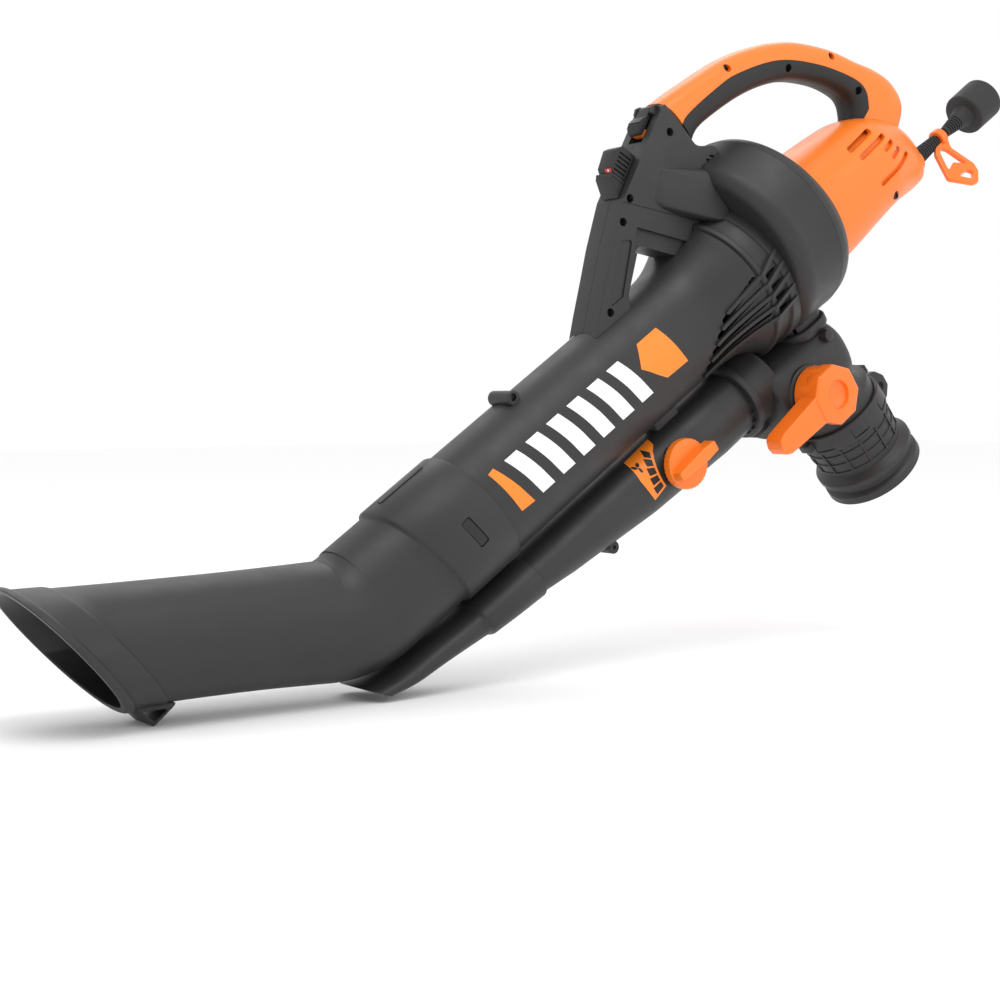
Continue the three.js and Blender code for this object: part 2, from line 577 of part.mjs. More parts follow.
// ---------------------------------------------------------------- rear handle
const HANDLE_STATIONS = [ // x and z of the grip's middle line, its slope down, half its thickness
  [-50.5, 142.5, -10.8, 23.9],
  [-36, 145.8, -3, 20],
  [-14, 146.2, 1, 18.4],
  [28, 143.6, 7, 17.9],
  [64.5, 135.8, 18, 17.4],
  [98, 122.2, 32, 17],
  [131, 98.5, 47, 16.7],
  [152, 75, 64, 17],
  [160.4, 59, 82, 19.4],
  [161.6, 43, 92, 25.4],
  [154, 26, 98, 32],
];
const HANDLE_SCREWS = [[84, 121], [150, 62], [22, 155], [137, 104]];
const INSERT_LINE = [[-52, 131], [-46, 144], [0, 147.5], [30, 145.5], [77, 132], [117, 106], [148, 76], [157, 58],
  [152, 42]];

const handleRings = (grow, over = 0) => HANDLE_STATIONS.map(([x, z, turn, half], i) => ring({
  x: i === 0 ? x - over : x,
  z: i === HANDLE_STATIONS.length - 1 ? z - over : z,
  a: HANDLE_HALF + grow,
  b: half + grow,
  turn,
  power: 2.7,
}));

function rearHandle() {
  const shell = loft(handleRings(0)).subtract(loft(handleRings(-3, 2)));
  const seats = HANDLE_SCREWS.map(([x, z]) => rodY(x, z, 4.6, -HANDLE_HALF, HANDLE_HALF, 10));
  const bores = HANDLE_SCREWS.map(([x, z]) => screwBore(x, z, -10, 9));
  const whole = union(shell, union(...seats).intersect(loft(handleRings(-0.5))));
  return without(whole, ...bores, loft(motorRings(GAP).map(ring)));
}

// The region of the black inner grip, its outer line moved out by `grow`.
function insertRegion(grow) {
  const line = smooth(INSERT_LINE, 20).map(([x, z]) => {
    const [dx, dz] = [x - 45, z - 60];
    const reach = Math.hypot(dx, dz);
    return [x + (dx / reach) * grow, z + (dz / reach) * grow];
  });
  return plateY([...line, [130, 30], [20, 100], [-60, 112]], -60, 60);
}

const handle = rearHandle();
halves('rear_handle', handle.subtract(insertRegion(GAP)), ORANGE);
halves('grip_insert', handle.intersect(insertRegion(0)), BLACK);
HANDLE_SCREWS.forEach(([x, z], i) => screw(`handle_screw_${i + 1}`, x, z, -10, 9));

// ---------------------------------------------------------------- switch housing and front handle
const FRONT_EDGE = { x: -140, z: 122.5, slope: 27.5 }; // the straight sloping edge that carries the controls

// A point `s` mm along the front edge and `t` mm above it.
function onEdge([s, t]) {
  const [c, d] = [Math.cos(FRONT_EDGE.slope * DEG), Math.sin(FRONT_EDGE.slope * DEG)];
  return [FRONT_EDGE.x + c * s - d * t, FRONT_EDGE.z + d * s + c * t];
}

const edgePlate = (outline, half, rim = 0) => plateY(outline.map(onEdge), -half, half, rim);

const HOUSING_OUTLINE = [[-140, 122.5], onEdge([93, 0]), [-52, 146], [-47.4, 119], [-38, 113.5], [-29, 109],
  [-27, 96], [-47, 60], [-86, 50], [-106, 40], [-112, 50], [-147, 84], [-180, 56], [-187, 40], [-236, 40],
  [-229, 46], [-215, 59], [-191, 80], [-172, 97], [-157, 109]];
const CHEEK = {
  half: 36,
  outline: [[-124, 110], [-105, 128], [-62, 95.5], [-62, 60], [-70, 57], [-80, 66], [-111, 95]],
};
const HOUSING_SCREWS = [[-154, 111], [-66, 143], [-133, 119], [-205, 57.5]];
const LOCK = onEdge([87.5, 2.2]);

function upperHousing() {
  const slab = plateY(HOUSING_OUTLINE, -HOUSING_HALF, HOUSING_HALF, 4);
  const slabHollow = plateY(inset(HOUSING_OUTLINE, 3), -HOUSING_HALF + 3, HOUSING_HALF - 3, 1);
  const cheek = plateY(CHEEK.outline, -CHEEK.half, CHEEK.half, 3);
  const cheekHollow = plateY(inset(CHEEK.outline, 3), -CHEEK.half + 3, CHEEK.half - 3);
  const seats = HOUSING_SCREWS.map(([x, z]) => rodY(x, z, 4.8, -HOUSING_HALF + 1, HOUSING_HALF - 1, 10));
  const bores = HOUSING_SCREWS.map(([x, z]) => screwBore(x, z, -10, 10));
  const ear = (y0, y1) => plateY([[83, -4], [83, 4.6], [88, 5.6], [91.4, 3], [91.4, -4]].map(onEdge), y0, y1);
  const pocketBody = edgePlate([[54, 0], [54, -13.5], [83, -13.5], [83, 0]], 11.4);
  const pocket = edgePlate([[56.6, 3], [56.6, -11], [81, -11], [92, -1.4], [92, 0.4], [81, 3]], 8.6);
  const posts = union(...seats).intersect(slab);
  const shell = without(union(slab, cheek), slabHollow, cheekHollow);
  return without(union(shell, pocketBody, posts, ear(-12, -8.8), ear(8.8, 12)), pocket, ...bores, tubeBody(GAP),
    drumBody(GAP), collarBody(GAP), rodY(...LOCK, 2.1, -20, 20, 12), loft(handleRings(GAP, GAP)));
}

halves('upper_housing', upperHousing(), CHARCOAL);
HOUSING_SCREWS.forEach(([x, z], i) => screw(`housing_screw_${i + 1}`, x, z, -10, 10));

add('switch_box', edgePlate([[1.5, 0.6], [13.6, 15.4], [17.2, 16.8], [17.2, 0.6]], 13, 0.8), BLACK);
add('power_slider', union(
  edgePlate([[18, 0.6], [18, 15.6], [22, 19.6], [40, 21.4], [44, 17], [42, 0.6]], 12, 1),
  ...[0, 1, 2, 3, 4].map((i) => edgePlate([[22, 7], [22, 20.4], [23.8, 20.6], [23.8, 7]]
    .map(([s, t]) => [s + 4.2 * i, t + 0.3 * i]), 13.4))), BLACK);
add('lock_lever', edgePlate([[62, 1.2], [63, 5], [66.6, 8.2], [71, 8.8], [75, 7.4], [78.6, 4.6], [88, 4.6], [91, 2.6],
  [90.6, 0.9], [68, 0.9]], 7.4, 0.8).add(rodY(...LOCK, 1.8, -11.6, 11.6, 12)), BLACK);
add('lock_catch', edgePlate([[63, 0.5], [63.6, -4.6], [67.5, -4.6], [70, 0.5]], 6), ORANGE);
add('switch_module', box(-120, -98, -11, 11, 104, 124), BLACK);
add('interlock_switch', box(-88, -76, -6, 6, 118, 130), BLACK);

// ---------------------------------------------------------------- diverter
const CHAMBER_OUTLINE = [[-98, CHAMBER.top], [-10, CHAMBER.top], [-4, -82], [-3, -104], [-3, -128],
  [-4, CHAMBER.floor], [-76, CHAMBER.floor], [-98, -142], [-107, -124], [-107, -108], [-101, -92]];

const placeOutlet = (shape) => shape.rotate([0, -OUTLET.lean, 0]).translate([OUTLET.x, 0, OUTLET.z]);

function diverterBody() {
  const { x, z } = LEVER;
  const hollow = plateY(inset(CHAMBER_OUTLINE, WALL), -CHAMBER.half + WALL, CHAMBER.half - WALL, 8);
  const place = { z: BLOWER.z };
  const socket = union(rodX(-131, -97, 34.2, place), rodX(-131, -124, 37, place));
  const neck = placeOutlet(turnedZ([[60, 0], [60, OUTLET.neck], [95, OUTLET.neck], [95, 0]]));
  const neckBore = placeOutlet(turnedZ([[50, 0], [50, 39], [92, 39], [92, 0]]));
  const shelf = box(-28, -4, -41, 41, -117, -114);
  const hub = rodY(x, z, 8, -CHAMBER.half - 1.2, -CHAMBER.half + 6);
  const lug = box(-124, -108, -8, 8, -128, -116);
  const shell = union(plateY(CHAMBER_OUTLINE, -CHAMBER.half, CHAMBER.half, 10), socket, neck, hub, lug);
  const outer = without(shell, hollow, neckBore, loft([blowerRing(-140, GAP), blowerRing(-92, GAP)].map(ring)));
  const chamberInside = plateY(inset(CHAMBER_OUTLINE, 1), -CHAMBER.half + 1, CHAMBER.half - 1, 8);
  return without(union(outer, shelf.intersect(chamberInside)), hollow.intersect(box(-90, -6, -60, 60, -160, -135)),
    box(-51, -17, -29, 29, -90, -60), rodY(x, z, SHAFT.radius + 0.4, -60, 60), tubeBody(GAP));
}

add('diverter_body', diverterBody(), CHARCOAL);
add('flap_shaft', rodY(LEVER.x, LEVER.z, SHAFT.radius, -66, 42), STEEL);
add('diverter_flap', union(rodY(LEVER.x, LEVER.z, 7, -32, 32), box(LEVER.x, LEVER.x + 46, -32, 32, -116.2, -113.8))
  .subtract(rodY(LEVER.x, LEVER.z, SHAFT.radius + GAP, -50, 50)), BLACK);

function modeLever() {
  const { x, z, hub, armEnd } = LEVER;
  const base = turnedY([[-45, 5], [-45, hub - 1], [-47, hub], [-62, hub - 0.6], [-62, 5]], x, z, 24);
  const front = plateY(Array.from({ length: 8 }, (_, i) => {
    const angle = (i + 0.5) * 45 * DEG;
    return [x + 26.4 * Math.cos(angle), z + 26.4 * Math.sin(angle)];
  }), -73, -58, 2.5);
  const arm = plateY([[x - 12, z - 13], [armEnd + 8, z - 10.5], [armEnd + 2, z - 8], [armEnd, z - 1],
    [armEnd + 2, z + 6], [armEnd + 8, z + 8.5], [x - 12, z + 13]], -71, -55, 3);
  return without(union(base, front, arm), rodY(x, z, 12.6, -80, -69.5, 30),
    rodY(x, z, SHAFT.radius + GAP, -66.4, -40));
}

add('mode_lever', modeLever(), LEVER_ORANGE);

// ---------------------------------------------------------------- bag connector, about the outlet's own axis
function bagConnector() {
  const profile = [[0, 36.4], [0, 46.6], [8.4, 46], [10.4, 42], [15, 42], [17.6, 47], [23.4, 47], [28, 39.6],
    [60, 42.4], [62, 45.2], [80, 45.2], [80, 42.3], [58.6, 42.3], [57, 39.4], [28, 36.4]];
  const ear = plateY([[36, 36], [47, 37], [57, 40], [65, 47], [66, 58], [60, 68], [50, 72], [40, 72]], -4, 4, 1.4);
  const tab = box(-52, -40, -6, 6, 70, 78);
  const bore = turnedZ([[25, 0], [25, 36], [57, 42.4], [82, 42.4], [82, 0]]);
  return without(union(turnedZ(profile), ear.subtract(bore), tab.subtract(bore)), rodY(56, 53, 4.2, -20, 20));
}

add('bag_connector', placeOutlet(bagConnector()), CHARCOAL);
add('connector_latch', placeOutlet(box(45.6, 51.6, -7, 7, 75.8, 84.4)), BLACK);

// ---------------------------------------------------------------- supply cord, plug and cord hook
const sideX = { z: CORD.z };
add('strain_relief', turnedX([[176, 4.2], [176, 10.7], [182, 10.7], [182, 9], [199, 9], [201, 8.4], [230, 6.2],
  [230, 4.2]], { ...sideX, sides: 24 }), RUBBER);

function supplyCord() {
  const path = new THREE.CatmullRomCurve3([CORD.start, 215, 232, 250, CORD.end]
    .map((x) => new THREE.Vector3(x, 0, CORD.z)));
  const section = new THREE.Shape(Array.from({ length: 10 }, (_, i) => new THREE.Vector2(
    CORD.radius * Math.cos(i * 36 * DEG), CORD.radius * Math.sin(i * 36 * DEG))));
  return solid(new THREE.ExtrudeGeometry(section, { steps: 4, extrudePath: path, bevelEnabled: false }));
}

add('supply_cord', supplyCord(), RUBBER);
add('plug_body', turnedX([[246, 4.2], [246, 5.2], [266, 7.8], [270, 11], [272, 17], [275, 19.6], [278, 20.5],
  [311, 20.5], [314, 19.2], [314, 17], [292, 16.6], [292, 0], [268, 0], [268, 4.2]],
{ ...sideX, sides: 24 }), RUBBER);
for (const [name, y] of [['plug_blade_left', -6.35], ['plug_blade_right', 6.35]]) {
  add(name, box(292.3, 309, y - 0.75, y + 0.75, CORD.z - 3.2, CORD.z + 3.2), STEEL);
}

const HOOK_TILT = 36; // the hook leans this far from straight down towards -Y, degrees
function cordHook() {
  const band = turnedX([[233, 4.5], [233, 8.6], [240, 8.6], [240, 4.5]], { sides: 20 });
  const frame = plateY([[232.5, -6], [222, -40], [226, -50], [248, -54], [254, -48], [243, -6]], -2.2, 2.2, 0.8);
  const opening = plateY([[235.5, -13], [227.5, -40], [230, -44.5], [245.5, -47.5], [248, -45], [241, -13]], -4, 4);
  const bar = plateY([[228, -29], [227, -26], [245.6, -29.6], [246, -32.6]], -2.2, 2.2, 0.6);
  return union(without(frame, opening, rodX(220, 260, 6)), bar, band).rotate([-HOOK_TILT, 0, 0])
    .translate([0, 0, CORD.z]);
}

add('cord_hook', cordHook(), LEVER_ORANGE);

// ---------------------------------------------------------------- working pose
machine.rotation.y = -SLOPE * DEG;
const grip = new THREE.Vector3(GRIP.x, 0, GRIP.z).applyAxisAngle(new THREE.Vector3(0, 1, 0), -SLOPE * DEG);
machine.position.copy(grip.negate());

const blower = new THREE.Group();
blower.add(machine);

export default blower;
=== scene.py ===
"""Corded garden blower, vacuum and mulcher: the looks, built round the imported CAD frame.

Pieces are modelled in the machine frame, in millimetres: the suction tube lies along X with its nozzle at -X,
Z points to the handles, the controls are on the -Y side and the fan's centre is the origin. MACHINE turns
them into the part's frame, in metres.
"""

import json
import math

import bmesh
import bpy
from mathutils import Matrix, Vector


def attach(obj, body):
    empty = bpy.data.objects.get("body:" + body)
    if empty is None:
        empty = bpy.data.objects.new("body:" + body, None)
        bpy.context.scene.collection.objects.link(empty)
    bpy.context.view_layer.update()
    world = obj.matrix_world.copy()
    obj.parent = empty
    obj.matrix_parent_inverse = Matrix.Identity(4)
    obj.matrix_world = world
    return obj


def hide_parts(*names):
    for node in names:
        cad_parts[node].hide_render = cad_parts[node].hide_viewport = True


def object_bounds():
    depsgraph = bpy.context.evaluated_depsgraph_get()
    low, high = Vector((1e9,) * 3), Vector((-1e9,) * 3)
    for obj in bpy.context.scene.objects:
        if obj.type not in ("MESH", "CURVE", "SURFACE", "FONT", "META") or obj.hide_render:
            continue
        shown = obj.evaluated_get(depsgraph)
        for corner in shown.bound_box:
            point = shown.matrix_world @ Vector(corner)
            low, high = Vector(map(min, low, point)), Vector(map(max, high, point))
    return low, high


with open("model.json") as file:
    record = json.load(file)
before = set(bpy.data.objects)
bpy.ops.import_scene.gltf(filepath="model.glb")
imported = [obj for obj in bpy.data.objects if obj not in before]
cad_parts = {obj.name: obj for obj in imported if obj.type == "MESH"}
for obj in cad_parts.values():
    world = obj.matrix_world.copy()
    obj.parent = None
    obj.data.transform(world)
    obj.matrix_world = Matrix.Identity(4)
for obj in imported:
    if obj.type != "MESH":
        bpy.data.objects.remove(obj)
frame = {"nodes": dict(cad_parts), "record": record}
cad_box = [list(corner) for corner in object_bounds()]

MM = 0.001
SLOPE = math.radians(35)  # slope of the suction tube in the working pose
MACHINE = (
    Matrix.Scale(MM, 4)
    @ Matrix.Rotation(-SLOPE, 4, "Y")
    @ Matrix.Translation((-45, 0, -141))
)
SIDES = 96
ROUND = 2.15  # power of the tubes' oval sections: 2 is an ellipse, more is boxier
WALL = 2.6  # thickness of the tubes' walls
CLEARANCE = 0.3  # kept between pieces that touch
SHARP = 35  # degrees between faces from which an edge looks sharp


def linked(name, data):
    """A new object of the scene."""
    made = bpy.data.objects.new(name, data)
    bpy.context.scene.collection.objects.link(made)
    return made


def aimed(place, direction):
    return Matrix.Translation(place) @ direction.to_track_quat("-Z", "Y").to_matrix().to_4x4()


# ---------------------------------------------------------------- camera, light and floor
def place_camera():
    data = bpy.data.cameras.new("camera")
    data.sensor_width = 36
    data.lens = 61.2
    data.shift_y = -0.1015
    camera = linked("camera", data)
    eye = Vector((-1.009, -1.093, -0.2825))
    along = Vector((0.57, 0.8216, 0))
    camera.matrix_world = aimed(eye, along)
    bpy.context.scene.camera = camera


def area_light(name, place, size, power):
    data = bpy.data.lights.new(name, "AREA")
    data.shape = "RECTANGLE"
    data.size, data.size_y = size
    data.energy = power
    light = linked(name, data)
    target = Vector((-0.1, 0, -0.15))
    place = Vector(place)
    light.matrix_world = aimed(place, target - place)


place_camera()
bpy.context.scene.view_settings.view_transform = "Standard"


def place_floor_and_lights():
    floor = bpy.data.meshes.new("floor")
    z = cad_box[0][2] - 0.0005
    floor.from_pydata([(-6, -6, z), (6, -6, z), (6, 6, z), (-6, 6, z)], [], [(0, 1, 2, 3)])
    ground = linked("floor", floor)
    material = bpy.data.materials.new("pale_floor")
    material.use_nodes = True
    shader = material.node_tree.nodes["Principled BSDF"]
    shader.inputs["Base Color"].default_value = (0.97, 0.97, 0.97, 1)
    shader.inputs["Roughness"].default_value = 0.9
    floor.materials.append(material)
    world = bpy.data.worlds.new("studio")
    world.use_nodes = True
    world.node_tree.nodes["Background"].inputs["Color"].default_value = (1, 1, 1, 1)
    world.node_tree.nodes["Background"].inputs["Strength"].default_value = 1.0
    bpy.context.scene.world = world
    area_light("key", (-0.5, -0.9, 1.5), (1.4, 1.0), 15)
    area_light("fill", (0.9, -1.6, 0.5), (1.2, 1.2), 4)
    area_light("rim", (0.6, 1.3, 1.2), (1.6, 0.8), 5)


place_floor_and_lights()


# ---------------------------------------------------------------- materials
def node_material(name):
    material = bpy.data.materials.new(name)
    material.use_nodes = True
    nodes = material.node_tree.nodes
    shader = nodes["Principled BSDF"]
    return material, nodes, material.node_tree.links, shader


def noise(nodes, links, where, scale, detail=3.0, rough=0.55):
    texture = nodes.new("ShaderNodeTexNoise")
    texture.inputs["Scale"].default_value = scale
    texture.inputs["Detail"].default_value = detail
    texture.inputs["Roughness"].default_value = rough
    links.new(where, texture.inputs["Vector"])
    return texture.outputs["Fac"]


def ramp(nodes, links, value, low, high):
    ramped = nodes.new("ShaderNodeMapRange")
    ramped.inputs["To Min"].default_value = low
    ramped.inputs["To Max"].default_value = high
    ramped.inputs["From Min"].default_value = 0.3
    ramped.inputs["From Max"].default_value = 0.7
    links.new(value, ramped.inputs["Value"])
    return ramped.outputs["Result"]


def moulded(name, colour, rough, grain=900, depth=0.12, spread=0.12, metal=0.0, coat=0.0, gloss=0.4):
    """Moulded plastic: slow colour drift, patchy gloss and a fine spark-eroded grain."""
    material, nodes, links, shader = node_material(name)
    where = nodes.new("ShaderNodeTexCoord").outputs["Object"]
    drift = noise(nodes, links, where, 9, 2)
    colours = nodes.new("ShaderNodeMix")
    colours.data_type = "RGBA"
    colours.inputs["A"].default_value = (*[c * (1 - spread) for c in colour], 1)
    colours.inputs["B"].default_value = (*[min(1, c * (1 + spread)) for c in colour], 1)
    links.new(drift, colours.inputs["Factor"])
    links.new(colours.outputs["Result"], shader.inputs["Base Color"])
    patchy = noise(nodes, links, where, 38, 4)
    links.new(ramp(nodes, links, patchy, rough - 0.05, rough + 0.06), shader.inputs["Roughness"])
    pits = noise(nodes, links, where, grain, 2, 0.5)
    bump = nodes.new("ShaderNodeBump")
    bump.inputs["Strength"].default_value = depth
    bump.inputs["Distance"].default_value = 0.0004
    links.new(pits, bump.inputs["Height"])
    links.new(bump.outputs["Normal"], shader.inputs["Normal"])
    shader.inputs["Metallic"].default_value = metal
    shader.inputs["Coat Weight"].default_value = coat
    shader.inputs["Coat Roughness"].default_value = 0.25
    shader.inputs["Specular IOR Level"].default_value = gloss
    return material


def brushed(name, colour, rough):
    """Turned or brushed metal with fine streaks."""
    material, nodes, links, shader = node_material(name)
    where = nodes.new("ShaderNodeTexCoord").outputs["Object"]
    stretch = nodes.new("ShaderNodeMapping")
    stretch.inputs["Scale"].default_value = (1, 14, 1)
    links.new(where, stretch.inputs["Vector"])
    streak = noise(nodes, links, stretch.outputs["Vector"], 160, 4)
    links.new(ramp(nodes, links, streak, rough - 0.08, rough + 0.12), shader.inputs["Roughness"])
    tint = nodes.new("ShaderNodeMix")
    tint.data_type = "RGBA"
    tint.inputs["A"].default_value = (*[c * 0.85 for c in colour], 1)
    tint.inputs["B"].default_value = (*colour, 1)
    links.new(streak, tint.inputs["Factor"])
    links.new(tint.outputs["Result"], shader.inputs["Base Color"])
    shader.inputs["Metallic"].default_value = 1
    return material


CHARCOAL = moulded("charcoal_moulding", (0.023, 0.0222, 0.0222), 0.46, 1100, 0.16)
BLACK = moulded("black_moulding", (0.012, 0.0117, 0.0117), 0.5, 1000, 0.18)
ORANGE = moulded("orange_moulding", (0.86, 0.185, 0.012), 0.38, 1300, 0.07, 0.05, coat=0.15)
LEVER_ORANGE = moulded("lever_moulding", (0.97, 0.175, 0.012), 0.3, 1300, 0.05, 0.05, coat=0.2)
RUBBER = moulded("cord_rubber", (0.02, 0.02, 0.021), 0.62, 1500, 0.2)
INK_WHITE = moulded("white_ink", (0.86, 0.86, 0.86), 0.4, 1300, 0.05, 0.02)
INK_ORANGE = moulded("orange_ink", (0.93, 0.24, 0.02), 0.4, 1300, 0.05, 0.04)
INK_RED = moulded("red_ink", (0.6, 0.03, 0.03), 0.4, 1300, 0.05, 0.04)
STEEL = brushed("bright_steel", (0.6, 0.61, 0.63), 0.3)
DARK_STEEL = brushed("black_steel", (0.05, 0.05, 0.055), 0.42)
ALUMINIUM = brushed("cast_aluminium", (0.75, 0.76, 0.78), 0.42)
COPPER = brushed("varnished_copper", (0.6, 0.3, 0.14), 0.38)

NODE_MATERIALS = {
    "charcoal_plastic": CHARCOAL,
    "black_plastic": BLACK,
    "orange_plastic": ORANGE,
    "lever_orange": LEVER_ORANGE,
    "soft_rubber": RUBBER,
    "steel": STEEL,
    "dark_steel": DARK_STEEL,
    "aluminium": ALUMINIUM,
    "copper": COPPER,
    "carbon": BLACK,
}
for row in frame["record"]["subparts"]:
    node = frame["nodes"][row["node"]]
    for held in node.material_slots:
        held.material = NODE_MATERIALS[row["material_slot"]]


# ---------------------------------------------------------------- mesh building
def mesh_of(name, verts, faces):
    """A mesh from machine-frame points, put in the part's frame."""
    mesh = bpy.data.meshes.new(name)
    mesh.from_pydata([tuple(v) for v in verts], [], faces)
    mesh.transform(MACHINE)
    return mesh


def piece(name, verts, faces, material, body="housing", slot=None, replaced=()):
    """A visible piece from machine-frame points."""
    return dress(linked(name, mesh_of(name, verts, faces)), material, body, slot, replaced)


def dress(made, material, body="housing", slot=None, replaced=()):
    """Gives an object its material and body, and shades it smooth except at its sharp edges; the slot is
    worked out but not stored.
    """
    tidy = bmesh.new()
    tidy.from_mesh(made.data)
    bmesh.ops.remove_doubles(tidy, verts=tidy.verts, dist=2e-6)
    bmesh.ops.recalc_face_normals(tidy, faces=tidy.faces)
    limit = math.radians(SHARP)
    for face in tidy.faces:
        face.smooth = True
    for edge in tidy.edges:
        edge.smooth = len(edge.link_faces) == 2 and edge.calc_face_angle(0) < limit
    tidy.to_mesh(made.data)
    tidy.free()
    made.data.materials.clear()
    made.data.materials.append(material)
    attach(made, body)
    if slot is None:
        slot = next(key for key, value in NODE_MATERIALS.items() if value is material)
    if replaced:
        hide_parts(*replaced)
    return made


def loose(verts, faces):
    """An object with a clean mesh, used as a cutter or made into a piece."""
    mesh = mesh_of("cutter", verts, faces)
    round_up = bmesh.new()
    round_up.from_mesh(mesh)
    bmesh.ops.remove_doubles(round_up, verts=round_up.verts, dist=1e-6)
    bmesh.ops.recalc_face_normals(round_up, faces=round_up.faces)
    round_up.to_mesh(mesh)
    round_up.free()
    return linked("cutter", mesh)


def discard(*objects):
    for each in objects:
        mesh = each.data
        bpy.data.objects.remove(each)
        bpy.data.meshes.remove(mesh)


def combine(base, others, operation):
    """base with the others cut away, joined or kept in common; others are shapes, or objects to use up."""
    others = [loose(*other) if isinstance(other, tuple) else other for other in others]
    for other in others:
        step = base.modifiers.new("combine", "BOOLEAN")
        step.operation = operation
        step.solver = "EXACT"
        step.object = other
    graph = bpy.context.evaluated_depsgraph_get()
    result = bpy.data.meshes.new_from_object(base.evaluated_get(graph))
    base.modifiers.clear()
    old = base.data
    base.data = result
    bpy.data.meshes.remove(old)
    discard(*others)
    return base


def joined(base, others):
    """base with the others' meshes added as they are."""
    every = bmesh.new()
    for each in (base, *others):
        every.from_mesh(each.data)
    every.to_mesh(base.data)
    every.free()
    discard(*others)
    return base


def hull(points, rim, steps=3):
    """The convex hull of some points with its edges rounded."""
    shape = bmesh.new()
    for point in points:
        shape.verts.new(point)
    bmesh.ops.convex_hull(shape, input=shape.verts)
    bmesh.ops.dissolve_limit(shape, angle_limit=0.03, verts=shape.verts, edges=shape.edges)
    bmesh.ops.bevel(shape, geom=shape.edges[:], offset=rim, segments=steps, profile=0.5, affect="EDGES",
                    clamp_overlap=True)
    return taken(shape)


def taken(shape):
    """The verts and faces of a bmesh, which is then freed."""
    shape.verts.index_update()
    verts = [tuple(v.co) for v in shape.verts]
    faces = [tuple(v.index for v in face.verts) for face in shape.faces]
    shape.free()
    return verts, faces


def finished(shape, name, material, **ride):
    """Makes a worked object a visible piece."""
    shape.name = name
    shape.data.name = name
    return dress(shape, material, **ride)


def skin(rings, closed=False):
    """Verts and faces of rings joined one to the next; closed joins the last to the first."""
    count = len(rings[0])
    verts = [point for each in rings for point in each]
    faces = []
    for k in range(len(rings) if closed else len(rings) - 1):
        low, high = k * count, (k + 1) % len(rings) * count
        for i in range(count):
            j = (i + 1) % count
            faces.append((low + i, low + j, high + j, high + i))
    if not closed:
        faces.append(tuple(range(count)))
        faces.append(tuple(range(len(verts) - count, len(verts))))
    return verts, faces


def on_oval(angle, a, b, power=ROUND):
    """A point on a superellipse of half-axes a and b."""
    c, s = math.cos(angle), math.sin(angle)
    return a * math.copysign(abs(c) ** (2 / power), c), b * math.copysign(abs(s) ** (2 / power), s)


def oval(x, z, a, b, turn=0.0, slant=0.0, power=ROUND, y=0.0, sides=SIDES):
    """A ring of points square to an axis that slopes down by turn degrees, its plane leaning by slant."""
    c, s = math.cos(math.radians(turn)), math.sin(math.radians(turn))
    points = []
    for i in range(sides):
        across, up = on_oval(i / sides * math.tau, a, b, power)
        along = slant * up
        points.append((x + c * along + s * up, y + across, z - s * along + c * up))
    return points


def flat_oval(x, z, half_x, half_y, power=2.3, lean=0.0):
    """A ring of points round an upright axis, its plane leaning by lean."""
    points = []
    for i in range(SIDES):
        across, along = on_oval(i / SIDES * math.tau, half_x, half_y, power)
        points.append((x + across, along, z + lean * across))
    return points


def curve_through(stations, steps):
    """Catmull-Rom through rows of numbers, steps rows to each span."""
    rows = []
    for k in range(len(stations) - 1):
        before = stations[max(0, k - 1)]
        start, end = stations[k], stations[k + 1]
        after = stations[min(len(stations) - 1, k + 2)]
        for i in range(steps):
            t = i / steps
            row = []
            for p, q, r, w in zip(before, start, end, after):
                square, cube = 2 * p - 5 * q + 4 * r - w, 3 * q - p - 3 * r + w
                row.append(0.5 * (2 * q + (r - p) * t + square * t * t + cube * t**3))
            rows.append(row)
    return rows + [list(stations[-1])]


def turned(profile, axis="X", centre=(0, 0, 0), sides=SIDES):
    """A turned piece: the profile is a closed list of (distance along the axis, radius)."""
    x, y, z = centre
    rings = []
    for i in range(sides):
        angle = math.tau * i / sides
        c, s = math.cos(angle), math.sin(angle)
        if axis == "X":
            rings.append([(x + d, y + r * c, z + r * s) for d, r in profile])
        elif axis == "Y":
            rings.append([(x + r * c, y + d, z + r * s) for d, r in profile])
        else:
            rings.append([(x + r * c, y + r * s, z + d) for d, r in profile])
    return skin(rings, closed=True)


def rod(axis, centre, radius, low, high, sides=32):
    return turned([(low, 0), (low, radius), (high, radius), (high, 0)], axis, centre, sides)


def rounded(outline, radius, steps=5):
    """An outline with each corner replaced by an arc of up to that radius."""
    points = []
    count = len(outline)
    for i, here in enumerate(outline):
        corner_radius = radius
        if len(here) == 3:
            corner_radius = here[2]
        here = Vector(here[:2])
        before = Vector(outline[i - 1][:2]) - here
        after = Vector(outline[(i + 1) % count][:2]) - here
        between = before.angle(after)
        if corner_radius <= 0 or between > math.radians(176):
            points.append(tuple(here))
            continue
        reach = corner_radius / math.tan(between / 2)
        reach = min(reach, before.length * 0.48, after.length * 0.48)
        first = here + before.normalized() * reach
        last = here + after.normalized() * reach
        for k in range(steps + 1):
            t = k / steps
            points.append(tuple(first * (1 - t) ** 2 + here * 2 * t * (1 - t) + last * t * t))
    return points


